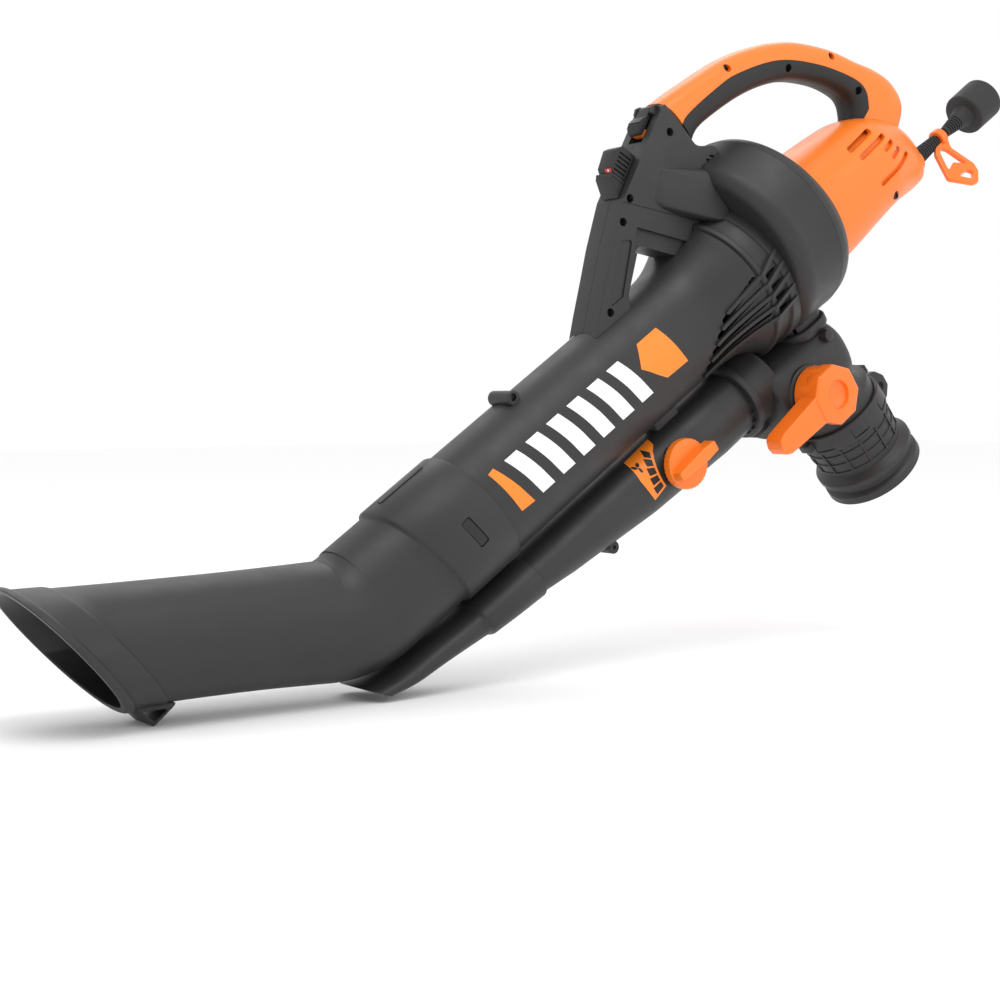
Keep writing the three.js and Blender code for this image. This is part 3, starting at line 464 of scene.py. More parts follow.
def plate(outline, low, high, rim=0.0, steps=3, round_high=True):
    """Verts and faces of an XZ outline given thickness along Y, its rims rounded."""
    shape = bmesh.new()
    ring = [shape.verts.new((x, low, z)) for x, z in outline]
    base = shape.faces.new(ring)
    top = bmesh.ops.extrude_face_region(shape, geom=[base])
    moved = [v for v in top["geom"] if isinstance(v, bmesh.types.BMVert)]
    bmesh.ops.translate(shape, verts=moved, vec=(0, high - low, 0))
    bmesh.ops.recalc_face_normals(shape, faces=shape.faces)
    if rim:
        rims = []
        for edge in shape.edges:
            levels = {round(v.co.y, 4) for v in edge.verts}
            if levels == {round(low, 4)} or levels == {round(high, 4)} and round_high:
                rims.append(edge)
        bmesh.ops.bevel(
            shape, geom=rims, offset=rim, segments=steps, profile=0.5, affect="EDGES", clamp_overlap=True
        )
    return taken(shape)


def block(x0, x1, y0, y1, z0, z1):
    return plate([(x0, z0), (x1, z0), (x1, z1), (x0, z1)], y0, y1)


def turned_about(shape, centre, degrees, axis=(0, 1, 0)):
    """Machine-frame verts turned about an axis through centre."""
    verts, faces = shape
    turn = Matrix.Rotation(math.radians(degrees), 3, Vector(axis))
    centre = Vector(centre)
    return [tuple(turn @ (Vector(v) - centre) + centre) for v in verts], faces


def merged(*shapes):
    verts, faces = [], []
    for more_verts, more_faces in shapes:
        shift = len(verts)
        verts += more_verts
        faces += [tuple(i + shift for i in face) for face in more_faces]
    return verts, faces


def slot_cutter(x0, z0, x1, z1, width, y0, y1):
    """A round-ended slot from one point to another in the XZ plane."""
    run = Vector((x1 - x0, z1 - z0))
    side = Vector((-run.y, run.x)).normalized() * width / 2
    forward = run.normalized() * width / 2
    start, end = Vector((x0, z0)), Vector((x1, z1))
    points = []
    for k in range(7):
        angle = math.pi * k / 6
        points.append(tuple(end + side * math.cos(angle) * -1 + forward * math.sin(angle)))
    for k in range(7):
        angle = math.pi * k / 6
        points.append(tuple(start + side * math.cos(angle) - forward * math.sin(angle)))
    return plate(points, y0, y1)


# ---------------------------------------------------------------- supply cord
CORD_Z = -35
CORD_RUN = [(196.5 + 71 * k / 14, 0, CORD_Z) for k in range(15)]


def build_cord():
    path = [MACHINE @ Vector(p) for p in CORD_RUN]
    radius = 3.75
    rings = []
    for x, y, z in CORD_RUN:
        rings.append(oval(x, z, radius, radius, power=2, y=y, sides=32))
    verts, faces = skin(rings)
    cord = piece("flex", verts, faces, RUBBER, replaced=["supply_cord"])
    length = sum((b - a).length for a, b in zip(path, path[1:]))
    return cord, path, length


flex, flex_path, flex_length = build_cord()


def lead_piece(name, profile, material, node, sides=64):
    verts, faces = turned(profile, "X", (0, 0, CORD_Z), sides)
    return piece(name, verts, faces, material, replaced=[node])


def arc(cx, cr, radius, start, end, steps=6):
    """Profile points round a centre, angles in degrees from +X."""
    return [
        (
            cx + radius * math.cos(math.radians(start + (end - start) * k / steps)),
            cr + radius * math.sin(math.radians(start + (end - start) * k / steps)),
        )
        for k in range(steps + 1)
    ]


def build_boot():
    """Strain relief: a thick sleeve with a collar, then ribs that thin out along the cord."""
    profile = [(176, 4), (176, 10.7), (182, 10.7), (182, 8.6), (183, 9), (197.6, 9), (199, 8.4)]
    place, radius = 199.0, 8.1
    while place < 228:
        profile += [(place, radius), (place + 1.7, radius), (place + 1.9, radius - 1.5),
                    (place + 3, radius - 1.5)]
        place += 3.2
        radius -= 0.22
    profile += [(place, radius - 0.4), (place + 0.8, radius - 1.2), (place + 0.8, 4)]
    return lead_piece("cord_boot", profile, RUBBER, "strain_relief")


def build_plug():
    """Moulded plug: ribbed boot, dished flange and a hood round the blades."""
    profile = [(246, 3.9), (246, 4.8), (246.6, 5.3)]
    place = 248.0
    while place < 263:
        radius = 5.4 + (place - 248) * 0.13
        profile += [(place, radius), (place + 1.5, radius + 0.1), (place + 1.7, radius - 0.9),
                    (place + 2.7, radius - 0.9)]
        place += 2.9
    profile += [(265.6, 7.8), (269, 8.6), (276, 10.2), (279.4, 12.2)]
    profile += [(279.6, 17.4)] + arc(282.2, 18, 2.3, 170, 90, 6)
    profile += [(310.6, 20.5)]
    profile += arc(312.6, 19, 1.5, 90, 0, 4)
    profile += [(314.1, 17.2), (313.6, 16.9), (292, 16.5), (292, 0), (268, 0), (268, 3.9)]
    body = lead_piece("plug_moulding", profile, RUBBER, "plug_body", 96)
    blades = []
    low, high = CORD_Z - 3.2, CORD_Z + 3.2
    for side, y in (("left", -6.35), ("right", 6.35)):
        outline = [(291.4, low, 0), (309, low, 1.6), (309, high, 1.6), (291.4, high, 0)]
        shape = loose(*plate(rounded(outline, 1.6), y - 0.75, y + 0.75, 0.3, 2))
        combine(shape, [rod("Y", (305, 0, CORD_Z), 1.4, y - 3, y + 3, 20)], "DIFFERENCE")
        blades.append(finished(shape, f"plug_pin_{side}", STEEL, replaced=[f"plug_blade_{side}"]))
    return [body] + blades


def build_hook():
    """Cord hook: an eye round the boot and a drop-shaped frame with a cross web, tilted towards -Y."""
    tilt = 36

    def tilted(shape):
        verts, faces = turned_about(shape, (0, 0, 0), -tilt, (1, 0, 0))
        return [(x, y, z + CORD_Z) for x, y, z in verts], faces

    frame_line = [(227, -2, 3), (216, -10, 6), (202, -36, 4), (218, -55, 4), (224, -57, 3), (235, -49, 4)]
    frame_line += [(238.5, -41, 4), (235.5, -15, 6), (246, -2, 3)]
    upper = [(227, -8.5, 3), (221, -12, 3), (210, -31, 2.5), (222, -27, 3), (233, -38, 2), (230.5, -14, 4)]
    lower = [(213, -39.5, 2), (227, -41.5, 2), (229.5, -46, 2), (222, -51.5, 2.5)]
    body = loose(*tilted(plate(rounded(frame_line, 4), -2.4, 2.4, 1.1, 4)))
    cuts = [tilted(plate(rounded(hole, 2), -6, 6)) for hole in (upper, lower)]
    cuts.append(tilted(rod("X", (0, 0, 0), 6, 225, 250)))
    combine(body, cuts, "DIFFERENCE")
    band = [(232.6, 4.4), (232.6, 7.8), (233.4, 8.7), (239.6, 8.7), (240.4, 7.8), (240.4, 4.4)]
    combine(body, [tilted(turned(band, "X"))], "UNION")
    return finished(body, "cord_hanger", LEVER_ORANGE, replaced=["cord_hook"])


boot = build_boot()
plug_pieces = build_plug()
hanger = build_hook()


# ---------------------------------------------------------------- suction nozzle
BEND = 33.6  # degrees
BEND_CENTRE = -508.4
BEND_RADIUS = 70
CATCH_WINDOW = plate(rounded([(-429.6, 14.2), (-420.4, 15.2), (-415.4, -10.2), (-424.6, -11.2)], 2), -60, -30)


def on_nozzle(along, up=-293.0):
    """A machine XZ point from a distance along the level part of the nozzle and a height across it."""
    c, s = math.cos(math.radians(BEND)), math.sin(math.radians(BEND))
    return -c * along + s * up, s * along + c * up


def nozzle_row(along, a, b, slant):
    return (*on_nozzle(along), a, b, BEND, slant)


def bend_rows(table):
    rows = []
    for turn, a, b in table:
        angle = math.radians(turn)
        rows.append(
            (BEND_CENTRE - BEND_RADIUS * math.sin(angle), BEND_RADIUS * (1 - math.cos(angle)), a, b, turn,
             0.0)
        )
    return rows


def build_nozzle():
    bend = curve_through([(0, 41.8, 49), (11, 41.9, 47.6), (22, 42.1, 46), (BEND, 42.5, 44.5)], 5)
    run = [(-458.6, 0, 41.8, 49, 0, -0.25), *bend_rows(bend), nozzle_row(525, 44, 42.6, -0.25)]
    run += [nozzle_row(590, 46.8, 42, -0.6), nozzle_row(625.4, 48.6, 42.1, -0.86)]
    run = curve_through(run, 3)
    collar = [
        (-394, 0, 43.3, 50.9, 0, -0.1),
        (-394.2, 0, 44.2, 51.8, 0, -0.1),
        (-395.2, 0, 44.7, 52.3, 0, -0.1),
        (-425, 0, 44.7, 52.3, 0, -0.18),
        (-454.4, 0, 44.6, 52.2, 0, -0.25),
        (-455.8, 0, 44.1, 51.7, 0, -0.25),
        (-457, 0, 42.8, 50.2, 0, -0.25),
    ]
    lip = [
        nozzle_row(626.4, 49.6, 43, -0.88),
        nozzle_row(628, 50.3, 43.5, -0.893),
        nozzle_row(649.6, 50.8, 43.6, -0.893),
        nozzle_row(651, 51.6, 44.3, -0.893),
        nozzle_row(651.8, 52.6, 45.2, -0.893),
        nozzle_row(652.8, 53, 45.6, -0.893),
        nozzle_row(657.8, 53, 45.6, -0.893),
        nozzle_row(658.8, 52.5, 45.1, -0.893),
        nozzle_row(659, 51.6, 44.2, -0.893),
    ]
    back = [nozzle_row(659, 49, 42, -0.893), nozzle_row(657.6, 48.2, 41.2, -0.89),
            nozzle_row(626, 46, 39.4, -0.85)]
    back += [nozzle_row(590, 44.2, 39.4, -0.6), nozzle_row(525, 41.4, 40, -0.25)]
    back += [(x, z, a - WALL, b - WALL, turn, slant) for x, z, a, b, turn, slant in reversed(bend_rows(bend))]
    back += [(-455.2, 0, 39.2, 46.4, 0, -0.25), (-454.6, 0, 42.3, 50, 0, -0.25), (-394, 0, 42.3, 50, 0, -0.1)]
    rings = [oval(*row) for row in collar + run + lip + back]
    shell = loose(*skin(rings, closed=True))
    tripod = [on_nozzle(*p) for p in ((580, -333.4), (615, -333.4), (599, -349))]
    hole = [on_nozzle(*p) for p in ((587, -337.4), (608, -337.4), (598.4, -345.2))]
    foot = loose(*plate(rounded(tripod, 2.2), -16, 16, 1.2, 3))
    combine(foot, [plate(rounded(hole, 1.4), -20, 20)], "DIFFERENCE")
    inside = [oval(*row) for row in (nozzle_row(560, 42, 39, -0.4), nozzle_row(640, 47, 40, -0.87))]
    combine(foot, [skin(inside)], "DIFFERENCE")
    combine(shell, [foot], "UNION")
    combine(shell, [CATCH_WINDOW], "DIFFERENCE")
    ridge = loose(*block(-457, -412, -2.2, 2.2, 48, 53.4))
    wall = [oval(x, 0, 45.5, 53.1) for x in (-470, -400)]
    combine(ridge, [skin(wall)], "INTERSECT")
    combine(shell, [ridge], "UNION")
    finished(shell, "nozzle_moulding", CHARCOAL, replaced=["suction_nozzle"])
    button = loose(*plate(rounded([(-429, 13.5), (-421, 14.5), (-416, -9.5), (-424, -10.5)], 2), -60, -37, 0))
    wall = [oval(x, 0, 44.1, 51.6) for x in (-440, -405)]
    combine(button, [skin(wall)], "INTERSECT")
    finished(button, "nozzle_button", BLACK, body="nozzle_catch", replaced=["nozzle_latch"])


build_nozzle()


# ---------------------------------------------------------------- suction tube
TUBE_A, TUBE_B = 42, 49.7
FLARE = [
    (-172, 0, 42, 49.7),
    (-150, 0.4, 43.6, 50.2),
    (-130, 1.4, 47.5, 51.5),
    (-108, 3, 57.5, 55.5),
    (-92, 1, 66, 64),
]


def tube_point(x, angle, lift=0.0):
    """A point on the straight part of the suction tube; the angle runs from -Y towards +Z."""
    across, up = on_oval(angle, TUBE_A + lift, TUBE_B + lift)
    return x, -across, up


def angle_at(share):
    """The angle at which an oval reaches that share of its half-height."""
    return math.copysign(math.asin(abs(share) ** (ROUND / 2)), share)


def sliced(outline, step):
    """A flat outline cut into cells no larger than step both ways, to be wrapped on a curved skin."""
    sheet = bmesh.new()
    sheet.faces.new([sheet.verts.new((u, v, 0)) for u, v in outline])
    for axis in (0, 1):
        low = min(p[axis] for p in outline)
        high = max(p[axis] for p in outline)
        normal = [0, 0, 0]
        normal[axis] = 1
        for k in range(1, math.ceil((high - low) / step[axis])):
            place = [0, 0, 0]
            place[axis] = low + k * step[axis]
            geometry = sheet.verts[:] + sheet.edges[:] + sheet.faces[:]
            bmesh.ops.bisect_plane(sheet, geom=geometry, plane_co=place, plane_no=normal)
    sheet.verts.index_update()
    verts = [tuple(v.co[:2]) for v in sheet.verts]
    faces = [tuple(v.index for v in face.verts) for face in sheet.faces]
    border = [tuple(v.index for v in edge.verts) for edge in sheet.edges if len(edge.link_faces) == 1]
    sheet.free()
    return verts, faces, border


def print_on(outline, surface, step, lift=0.12):
    """A thin printed patch: the outline is in the surface's own two numbers."""
    flat, faces, border = sliced(outline, step)
    top = [surface(u, v, lift) for u, v in flat]
    low = [surface(u, v, -0.3) for u, v in flat]
    count = len(flat)
    walls = [(a, b, b + count, a + count) for a, b in border]
    return top + low, [*faces, *walls]


def tube_print(outline):
    return print_on([(x, angle_at(z / TUBE_B)) for x, z in outline], tube_point, (5, 0.06))


def build_tube():
    flare = curve_through(FLARE, 6)
    outer = [oval(-454, 0, TUBE_A, TUBE_B, slant=-0.25)]
    outer += [oval(x, 0, TUBE_A, TUBE_B) for x in (-330, -250)]
    outer += [oval(x, z, a, b) for x, z, a, b in flare]
    outer += [oval(x, 0, r, r, power=2) for x, r in
              ((-90.6, 66.2), (-90.2, 67.6), (-89.8, 68.6), (-89, 69), (-85.8, 69), (-85, 68.4),
               (-84.9, 63), (-62, 63))]
    inner = [oval(x, 0, r, r, power=2) for x, r in ((-62, 60.4), (-84.5, 60.4))]
    inner += [oval(x, z, a - WALL, b - WALL) for x, z, a, b in reversed(flare)]
    inner += [oval(-454, 0, TUBE_A - WALL, TUBE_B - WALL, slant=-0.25)]
    shell = loose(*skin(outer + inner, closed=True))
    boss = [(-14, 0), (-14, 5.2), (-13.2, 6), (13.2, 6), (14, 5.2), (14, 0)]
    boss = loose(*turned(boss, "Y", (-319.5, 0, 51.5), 40))
    combine(boss, [rod("Y", (-319.5, 0, 52.4), 3, -16, -10, 24),
                   skin([oval(x, 0, TUBE_A - 1, TUBE_B - 1) for x in (-340, -300)])], "DIFFERENCE")
    cuts = [CATCH_WINDOW]
    for i in range(4):
        for low, high in ((-80, -20), (20, 80)):
            cuts.append(slot_cutter(-128 - 9 * i, -4.4 - 9.5 * i, -94.5, 13 - 11.2 * i, 5, low, high))
    combine(shell, cuts, "DIFFERENCE")
    combine(shell, [boss], "UNION")
    finished(shell, "tube_moulding", CHARCOAL, replaced=["suction_tube"])
    screw_head("tube_boss_screw", (-319.5, 52.4), -10.6, 2.6, None)


def screw_head(name, place, seat, radius, node, body="housing", reach=None):
    """A pan-head screw with a cross recess, entering from -Y; seat is where its head rests."""
    x, z = place
    tall = 2.2
    profile = [(seat, 0), (seat, radius), (seat - tall * 0.55, radius)]
    profile += [(seat - tall * 0.85, radius * 0.86), (seat - tall, radius * 0.6), (seat - tall, 0)]
    head = loose(*turned(profile, "Y", (x, 0, z), 32))
    arm, half = radius * 0.62, radius * 0.17
    cuts = []
    for degrees in (0, 90):
        bar = block(x - arm, x + arm, seat - tall - 1, seat - tall * 0.45, z - half, z + half)
        cuts.append(turned_about(bar, (x, 0, z), degrees + 20))
    combine(head, cuts, "DIFFERENCE")
    if reach is not None:
        combine(head, [rod("Y", (x, 0, z), 1.6, seat - 0.5, reach, 16)], "UNION")
    return finished(head, name, DARK_STEEL, body=body, replaced=[node] if node else ())


def build_prints():
    left = [(-385, 27), (-378.5, 28), (-363.5, -13), (-378, -12)]
    right = [(-209, 27), (-185, 27), (-175, -12), (-201, -11), (-220, 10)]
    orange = merged(tube_print(left), tube_print(right))
    piece("side_stripes", *orange, INK_ORANGE, slot="orange_plastic")
    bars = []
    for start in (-367, -343, -319, -295, -271, -247):
        bars.append(tube_print([(start, 27), (start + 14, 27), (start + 27, -12.5), (start + 13, -12.5)]))
    piece("side_bars", *merged(*bars), INK_WHITE, slot="charcoal_plastic")


build_tube()
build_prints()


# ---------------------------------------------------------------- blower tube
BLOWER = [
    (-460, -66.6, 29.5, 13),
    (-437, -71, 28.2, 15.4),
    (-418, -71.8, 28.2, 16.2),
    (-386, -73.4, 28.2, 17.8),
    (-351, -76.6, 28.4, 21),
    (-257, -83, 29, 27),
    (-165, -86, 30, 30),
    (-117, -86, 30, 30),
]
DIAL = (-222, -82)


def blower_row(x):
    for low, high in zip(BLOWER, BLOWER[1:]):
        if x <= high[0]:
            t = (x - low[0]) / (high[0] - low[0])
            return [p + (q - p) * t for p, q in zip(low, high)]
    return list(BLOWER[-1])


def blower_ring(x, grow=0.0, slant=0.0):
    _, z, a, b = blower_row(x)
    return oval(x, z, a + grow, b + grow, slant=slant)


def blower_point(x, angle, lift=0.0):
    _, z, a, b = blower_row(x)
    across, up = on_oval(angle, a + lift, b + lift)
    return x, -across, z + up


def build_blower():
    places = [-437, -420, -403, -386, -368, -351, -320, -288, -257, -226, -195, -165, -140, -117]
    rings = [blower_ring(x) for x in places] + [blower_ring(x, -WALL) for x in reversed(places)]
    shell = loose(*skin(rings, closed=True))
    seat = loose(*turned([(-32.8, 4.4), (-32.8, 15.2), (-32, 16), (-20, 16), (-20, 4.4)], "Y",
                         (DIAL[0], 0, DIAL[1]), 64))
    boss = loose(*turned([(-13, 1.8), (-13, 4.8), (-12.2, 5.5), (12.2, 5.5), (13, 4.8), (13, 1.8)], "Y",
                         (-306.5, 0, -105), 36))
    inside = [blower_ring(x, -1) for x in (-330, -300, -257, -180)]
    for extra in (seat, boss):
        combine(extra, [skin(inside)], "DIFFERENCE")
    combine(shell, [seat, boss], "UNION")
    finished(shell, "outlet_tube", CHARCOAL, replaced=["blower_tube"])
    screw_head("lower_boss_screw", (-306.5, -105), -10.4, 2.4, None)
    tip = [(-487, -63.6, 30.2, 12.3, 0.0), (-520, -60, 30.6, 10.8, -0.3), (-545, -53.6, 31, 10.5, -0.79)]
    outer = [blower_ring(-386, 1.4), blower_ring(-386.6, 2.1), blower_ring(-387.6, 2.3),
             blower_ring(-415, 2.3, -0.05),
             blower_ring(-442, 2.2, -0.1), blower_ring(-443.4, 1.8, -0.1), blower_ring(-445, 0.7, -0.1)]
    outer += [oval(x, z, a, b, slant=slant) for x, z, a, b, slant in
              curve_through([(-446.5, -69.2, 28.8, 14.6, -0.1), *tip], 5)]
    outer += [oval(-546, -53.5, 30.6, 10.1, slant=-0.8)]
    inner = [oval(-546, -53.5, 29, 8.5, slant=-0.8), oval(-520, -60, 28.4, 8.6, slant=-0.3),
             oval(-487, -63.6, 28, 10.1)]
    inner += [blower_ring(-438.2, -1.8), blower_ring(-437.6, 0.3), blower_ring(-386, 0.3)]
    verts, faces = skin(outer + inner, closed=True)
    piece("outlet_tip", verts, faces, CHARCOAL, replaced=["blower_nozzle"])
    clip = loose(*plate(rounded([(-213, -62), (-185, -62), (-185, -49), (-213, -49)], 2), -9, 9, 1, 3))
    tubes = [skin([oval(x, 0, TUBE_A + CLEARANCE, TUBE_B + CLEARANCE) for x in (-230, -175)]),
             skin([blower_ring(x, 0.3) for x in (-230, -175)])]
    combine(clip, tubes, "DIFFERENCE")
    finished(clip, "tube_bridge", CHARCOAL, replaced=["tube_clip"])


def build_dial():
    """Air-flow dial: a fluted disc with a raised pointer bar."""
    x, z = DIAL
    outline = []
    for i in range(144):
        angle = i / 144 * math.tau
        radius = 21 - 0.5 * (1 + math.cos(36 * angle)) * 0.5
        outline.append((x + radius * math.cos(angle), z + radius * math.sin(angle)))
    disc = loose(*plate(outline, -40.4, -33.4, 1.2, 3, round_high=False))
    ridge = [(x - 19, z - 3.6, 1.6), (x + 14, z - 5.6, 2), (x + 27, z - 4.6, 2), (x + 27, z + 4.6, 2),
             (x + 14, z + 5.6, 2),
             (x - 19, z + 3.6, 1.6)]
    bar = loose(*plate(rounded(ridge, 1.8), -50, -38, 1.7, 4, round_high=False))
    combine(disc, [bar], "UNION")
    combine(disc, [rod("Y", (x, 0, z), 4, -39, 22, 24)], "UNION")
    combine(disc, [block(x - 5, x + 5, -20.6, 20.6, z - 1.4, z + 1.4)], "DIFFERENCE")
    finished(disc, "dial_knob", ORANGE, body="air_dial", replaced=["flow_dial"])


build_blower()
build_dial()


# ---------------------------------------------------------------- fan housing
DRUM_Z = 17


def build_drum():
    front = [(-58, 26), (-61, 74), (-60.7, 76.6), (-59.6, 79.4), (-57.6, 82), (-54.6, 84.4), (-51, 86),
             (-47, 86.5)]
    front += [(-13.4, 86.5), (-12.4, 86.9), (-11.2, 86.9), (-11.15, 83.5), (-48, 83.5), (-51.6, 82),
              (-55, 76), (-55, 26)]
    shell = loose(*turned(front, "X", (0, 0, DRUM_Z), 160))
    collar = [(-84.6, 63.4), (-84.6, 66.4), (-84, 67), (-71, 67), (-70, 67.6), (-69.4, 69.4), (-68.6, 70),
              (-56, 70),
              (-56, 63.4)]
    collar = loose(*turned(collar, "X", (0, 0, 0), 128))
    neck = loose(*skin([flat_oval(-33.6, z, 22.4, 34, 3.4) for z in (-71, -46)]))
    drum_hollow = loose(*turned([(-55, 0), (-55, 76), (-51.6, 82), (-48, 83.5), (0, 83.5), (0, 0)], "X",
                                (0, 0, DRUM_Z), 96))
    combine(neck, [drum_hollow, block(-52, -16, -30, 30, -76, -40)], "DIFFERENCE")
    cuts = [rod("X", (0, 0, 0), 48, -80, 0, 96)]
    cuts.append(block(-52, -16, -30, 30, -76, -40))
    combine(shell, cuts, "DIFFERENCE")
    slots = []
    for i in range(4):
        slots.append(slot_cutter(-84, 8.5 - 11 * i, -73, 8.5 - 11 * i, 5, -80, -50))
    combine(collar, slots, "DIFFERENCE")
    combine(shell, [collar, neck], "UNION")
    finished(shell, "fan_case_front", CHARCOAL, replaced=["fan_housing_front"])
    rows = curve_through([(-10.85, 17, 86.5), (-2, 16, 84.9), (7, 12, 78.5), (14, 7, 70.5), (21, 1, 60)], 6)
    outer = [oval(-10.85, 17, 86.9, 86.9, power=2), oval(-9.8, 17, 86.9, 86.9, power=2)]
    outer += [oval(x, z, r, r, power=2) for x, z, r in rows[1:]]
    inner = [oval(x, z, r - 3, r - 3, power=2) for x, z, r in reversed(rows)]
    piece("fan_case_rear", *skin(outer + inner, closed=True), CHARCOAL, replaced=["fan_housing_rear"])


build_drum()


# ---------------------------------------------------------------- split mouldings
def split(shape, name, material, nodes, gap=0.16):
    """Left and right halves of a shape, parted on the middle plane."""
    for side, node in zip((-1, 1), nodes):
        half = bmesh.new()
        half.from_mesh(shape.data)
        geometry = half.verts[:] + half.edges[:] + half.faces[:]
        cut = bmesh.ops.bisect_plane(
            half, geom=geometry, plane_co=(0, side * gap * MM, 0), plane_no=(0, -side, 0), clear_outer=True
        )
        edges = [item for item in cut["geom_cut"] if isinstance(item, bmesh.types.BMEdge)]
        bmesh.ops.holes_fill(half, edges=edges, sides=0)
        mesh = bpy.data.meshes.new(name)
        half.to_mesh(mesh)
        half.free()
        made = linked(name + ("_left" if side < 0 else "_right"), mesh)
        dress(made, material, replaced=[node])
    discard(shape)


def screw_pocket(x, z, seat, radius=3.6):
    """A cutter for a countersunk screw well that opens to -Y."""
    return turned([(-70, 0), (-70, radius), (seat - 4, radius), (seat, radius), (seat, 0)], "Y", (x, 0, z),
                  36)


# ---------------------------------------------------------------- motor housing
MOTOR = [
    (21.6, 1, 53, 53.5),
    (60, 0, 49, 51),
    (103, 0, 45, 48),
    (130, -1.5, 42, 45.5),
    (152, -8, 33.5, 42),
    (172, -16, 25, 36),
    (187, -25, 16, 27),
    (196, -31, 9, 14),
]


def motor_rings(rows=MOTOR, less_a=0.0, less_b=0.0):
    return [oval(x, z, a - less_a, b - less_b, power=2.6) for x, z, a, b in rows]


def build_motor():
    dense = curve_through(MOTOR, 5)
    shell = loose(*skin(motor_rings(dense)))
    hollow = [(20, 1, 50, 50.5), *[(x, z, a - 3, b - 3) for x, z, a, b in MOTOR[:-1]], (192, -28, 8, 12)]
    gland = loose(*turned([(170, 0), (170, 12.2), (194.6, 12.2), (195.8, 11), (195.8, 0)], "X",
                          (0, 0, CORD_Z), 64))
    combine(shell, [gland], "UNION")
    cuts = [skin(motor_rings(hollow))]
    for x0, x1, z in ((88, 122, 33), (93, 132, 22), (125, 139, 12), (130, 145, 1.5), (102, 157, -10)):
        for low, high in ((-70, -22), (22, 70)):
            cuts.append(slot_cutter(x0, z, x1, z, 5.4, low, high))
    bore = [(160, 0), (160, 5), (175.7, 5), (175.7, 11), (182.3, 11), (182.3, 9.3), (215, 9.3), (215, 0)]
    cuts.append(turned(bore, "X", (0, 0, CORD_Z), 48))
    cuts.append(screw_pocket(117, -31, -36, 4.2))
    combine(shell, cuts, "DIFFERENCE")
    split(shell, "motor_case", ORANGE, ["motor_housing_left", "motor_housing_right"])
    inside = [row for row in curve_through(MOTOR, 3) if 80 < row[0] < 182]
    liner = motor_rings(inside, 3.4, 8) + motor_rings(inside[::-1], 5, 9.5)
    piece("vent_baffle", *skin(liner, closed=True), ORANGE)
    screw_head("case_screw", (117, -31), -36, 3.4, "motor_screw", reach=11)


build_motor()


# ---------------------------------------------------------------- rear handle
HANDLE = [
    (-50.5, 142.5, -10.8, 23.9),
    (-36, 145.8, -3, 20),
    (-14, 146.2, 1, 18.4),
    (28, 143.6, 7, 17.9),
    (64.5, 135.8, 18, 17.4),
    (98, 122.2, 32, 17),
    (131, 98.5, 47, 16.7),
    (152, 76, 62, 17.5),
    (164, 60, 78, 23),
    (168.5, 43, 90, 32),
    (163.5, 24, 97, 38),
    (148, 6, 100, 30),
]
INSERT = [(-52, 131), (-46, 144), (0, 147.5), (30, 145.5), (77, 132), (117, 106), (148, 76), (157, 58),
          (152, 42)]
HANDLE_SCREWS = [(84, 121), (150, 62), (22, 155), (137, 104)]


def handle_solid(grow=0.0):
    rows = curve_through(HANDLE, 4)
    return skin([oval(x, z, 18.5 + grow, half + grow, turn=turn, power=2.7) for x, z, turn, half in rows])


def insert_region(grow):
    line = []
    for x, z in curve_through(INSERT, 6):
        reach = math.hypot(x - 45, z - 60)
        line.append((x + (x - 45) / reach * grow, z + (z - 60) / reach * grow))
    return plate([*line, (130, 30), (20, 100), (-60, 112)], -60, 60)


def build_rear_handle():
    motor = skin(motor_rings(MOTOR, -CLEARANCE, -CLEARANCE))
    shell = loose(*handle_solid())
    cuts = [insert_region(0.35), motor]
    cuts += [screw_pocket(x, z, -12) for x, z in HANDLE_SCREWS]
    combine(shell, cuts, "DIFFERENCE")
    split(shell, "handle_bow", ORANGE, ["rear_handle_left", "rear_handle_right"])
    grip = loose(*handle_solid())
    combine(grip, [insert_region(0)], "INTERSECT")
    cuts = [motor] + [screw_pocket(x, z, -12) for x, z in HANDLE_SCREWS]
    combine(grip, cuts, "DIFFERENCE")
    split(grip, "handle_grip", BLACK, ["grip_insert_left", "grip_insert_right"])
    for i, place in enumerate(HANDLE_SCREWS):
        screw_head(f"bow_screw_{i + 1}", place, -12, 3.0, f"handle_screw_{i + 1}", reach=8)


build_rear_handle()

# ---------------------------------------------------------------- switch housing and front handle
EDGE = (-140, 122.5, 27.5)  # the sloping front edge that carries the controls: its foot and its slope


def on_edge(points):
    """Points given as distance along the front edge and height above it."""
    c, s = math.cos(math.radians(EDGE[2])), math.sin(math.radians(EDGE[2]))
    return [(EDGE[0] + c * p[0] - s * p[1], EDGE[1] + s * p[0] + c * p[1], *p[2:]) for p in points]


LOCK_PIN = on_edge([(87.5, 2.2)])[0]
HOUSING = [(-140, 122.5, 3), *on_edge([(93, 0, 2)]), (-52, 146, 2), (-47.4, 119, 10), (-38, 113.5, 6),
           (-29, 109, 8)]
HOUSING += [(-27, 96, 5), (-47, 60, 6), (-86, 50, 6), (-106, 40, 5), (-112, 50, 7), (-147, 84, 9),
            (-180, 56, 10)]
HOUSING += [(-187, 40, 5), (-236, 40, 5), (-229, 46, 5), (-215, 59, 14), (-191, 80, 20), (-172, 97, 16),
            (-157, 109, 12)]
CHEEK = [(-95, 10, 128), (-50, 10, 101), (-44, 10, 80), (-46, 10, 48), (-62, 10, 48), (-110, 10, 92),
         (-116, 10, 104)]
CHEEK += [(-93, 17.6, 125), (-56, 26, 99), (-54, 32, 86), (-61, 36, 60), (-71, 35, 57), (-109, 22, 98),
          (-114, 17.6, 106)]
HOUSING_SCREWS = [(-151, 108), (-66, 143), (-134, 120), (-204, 55)]


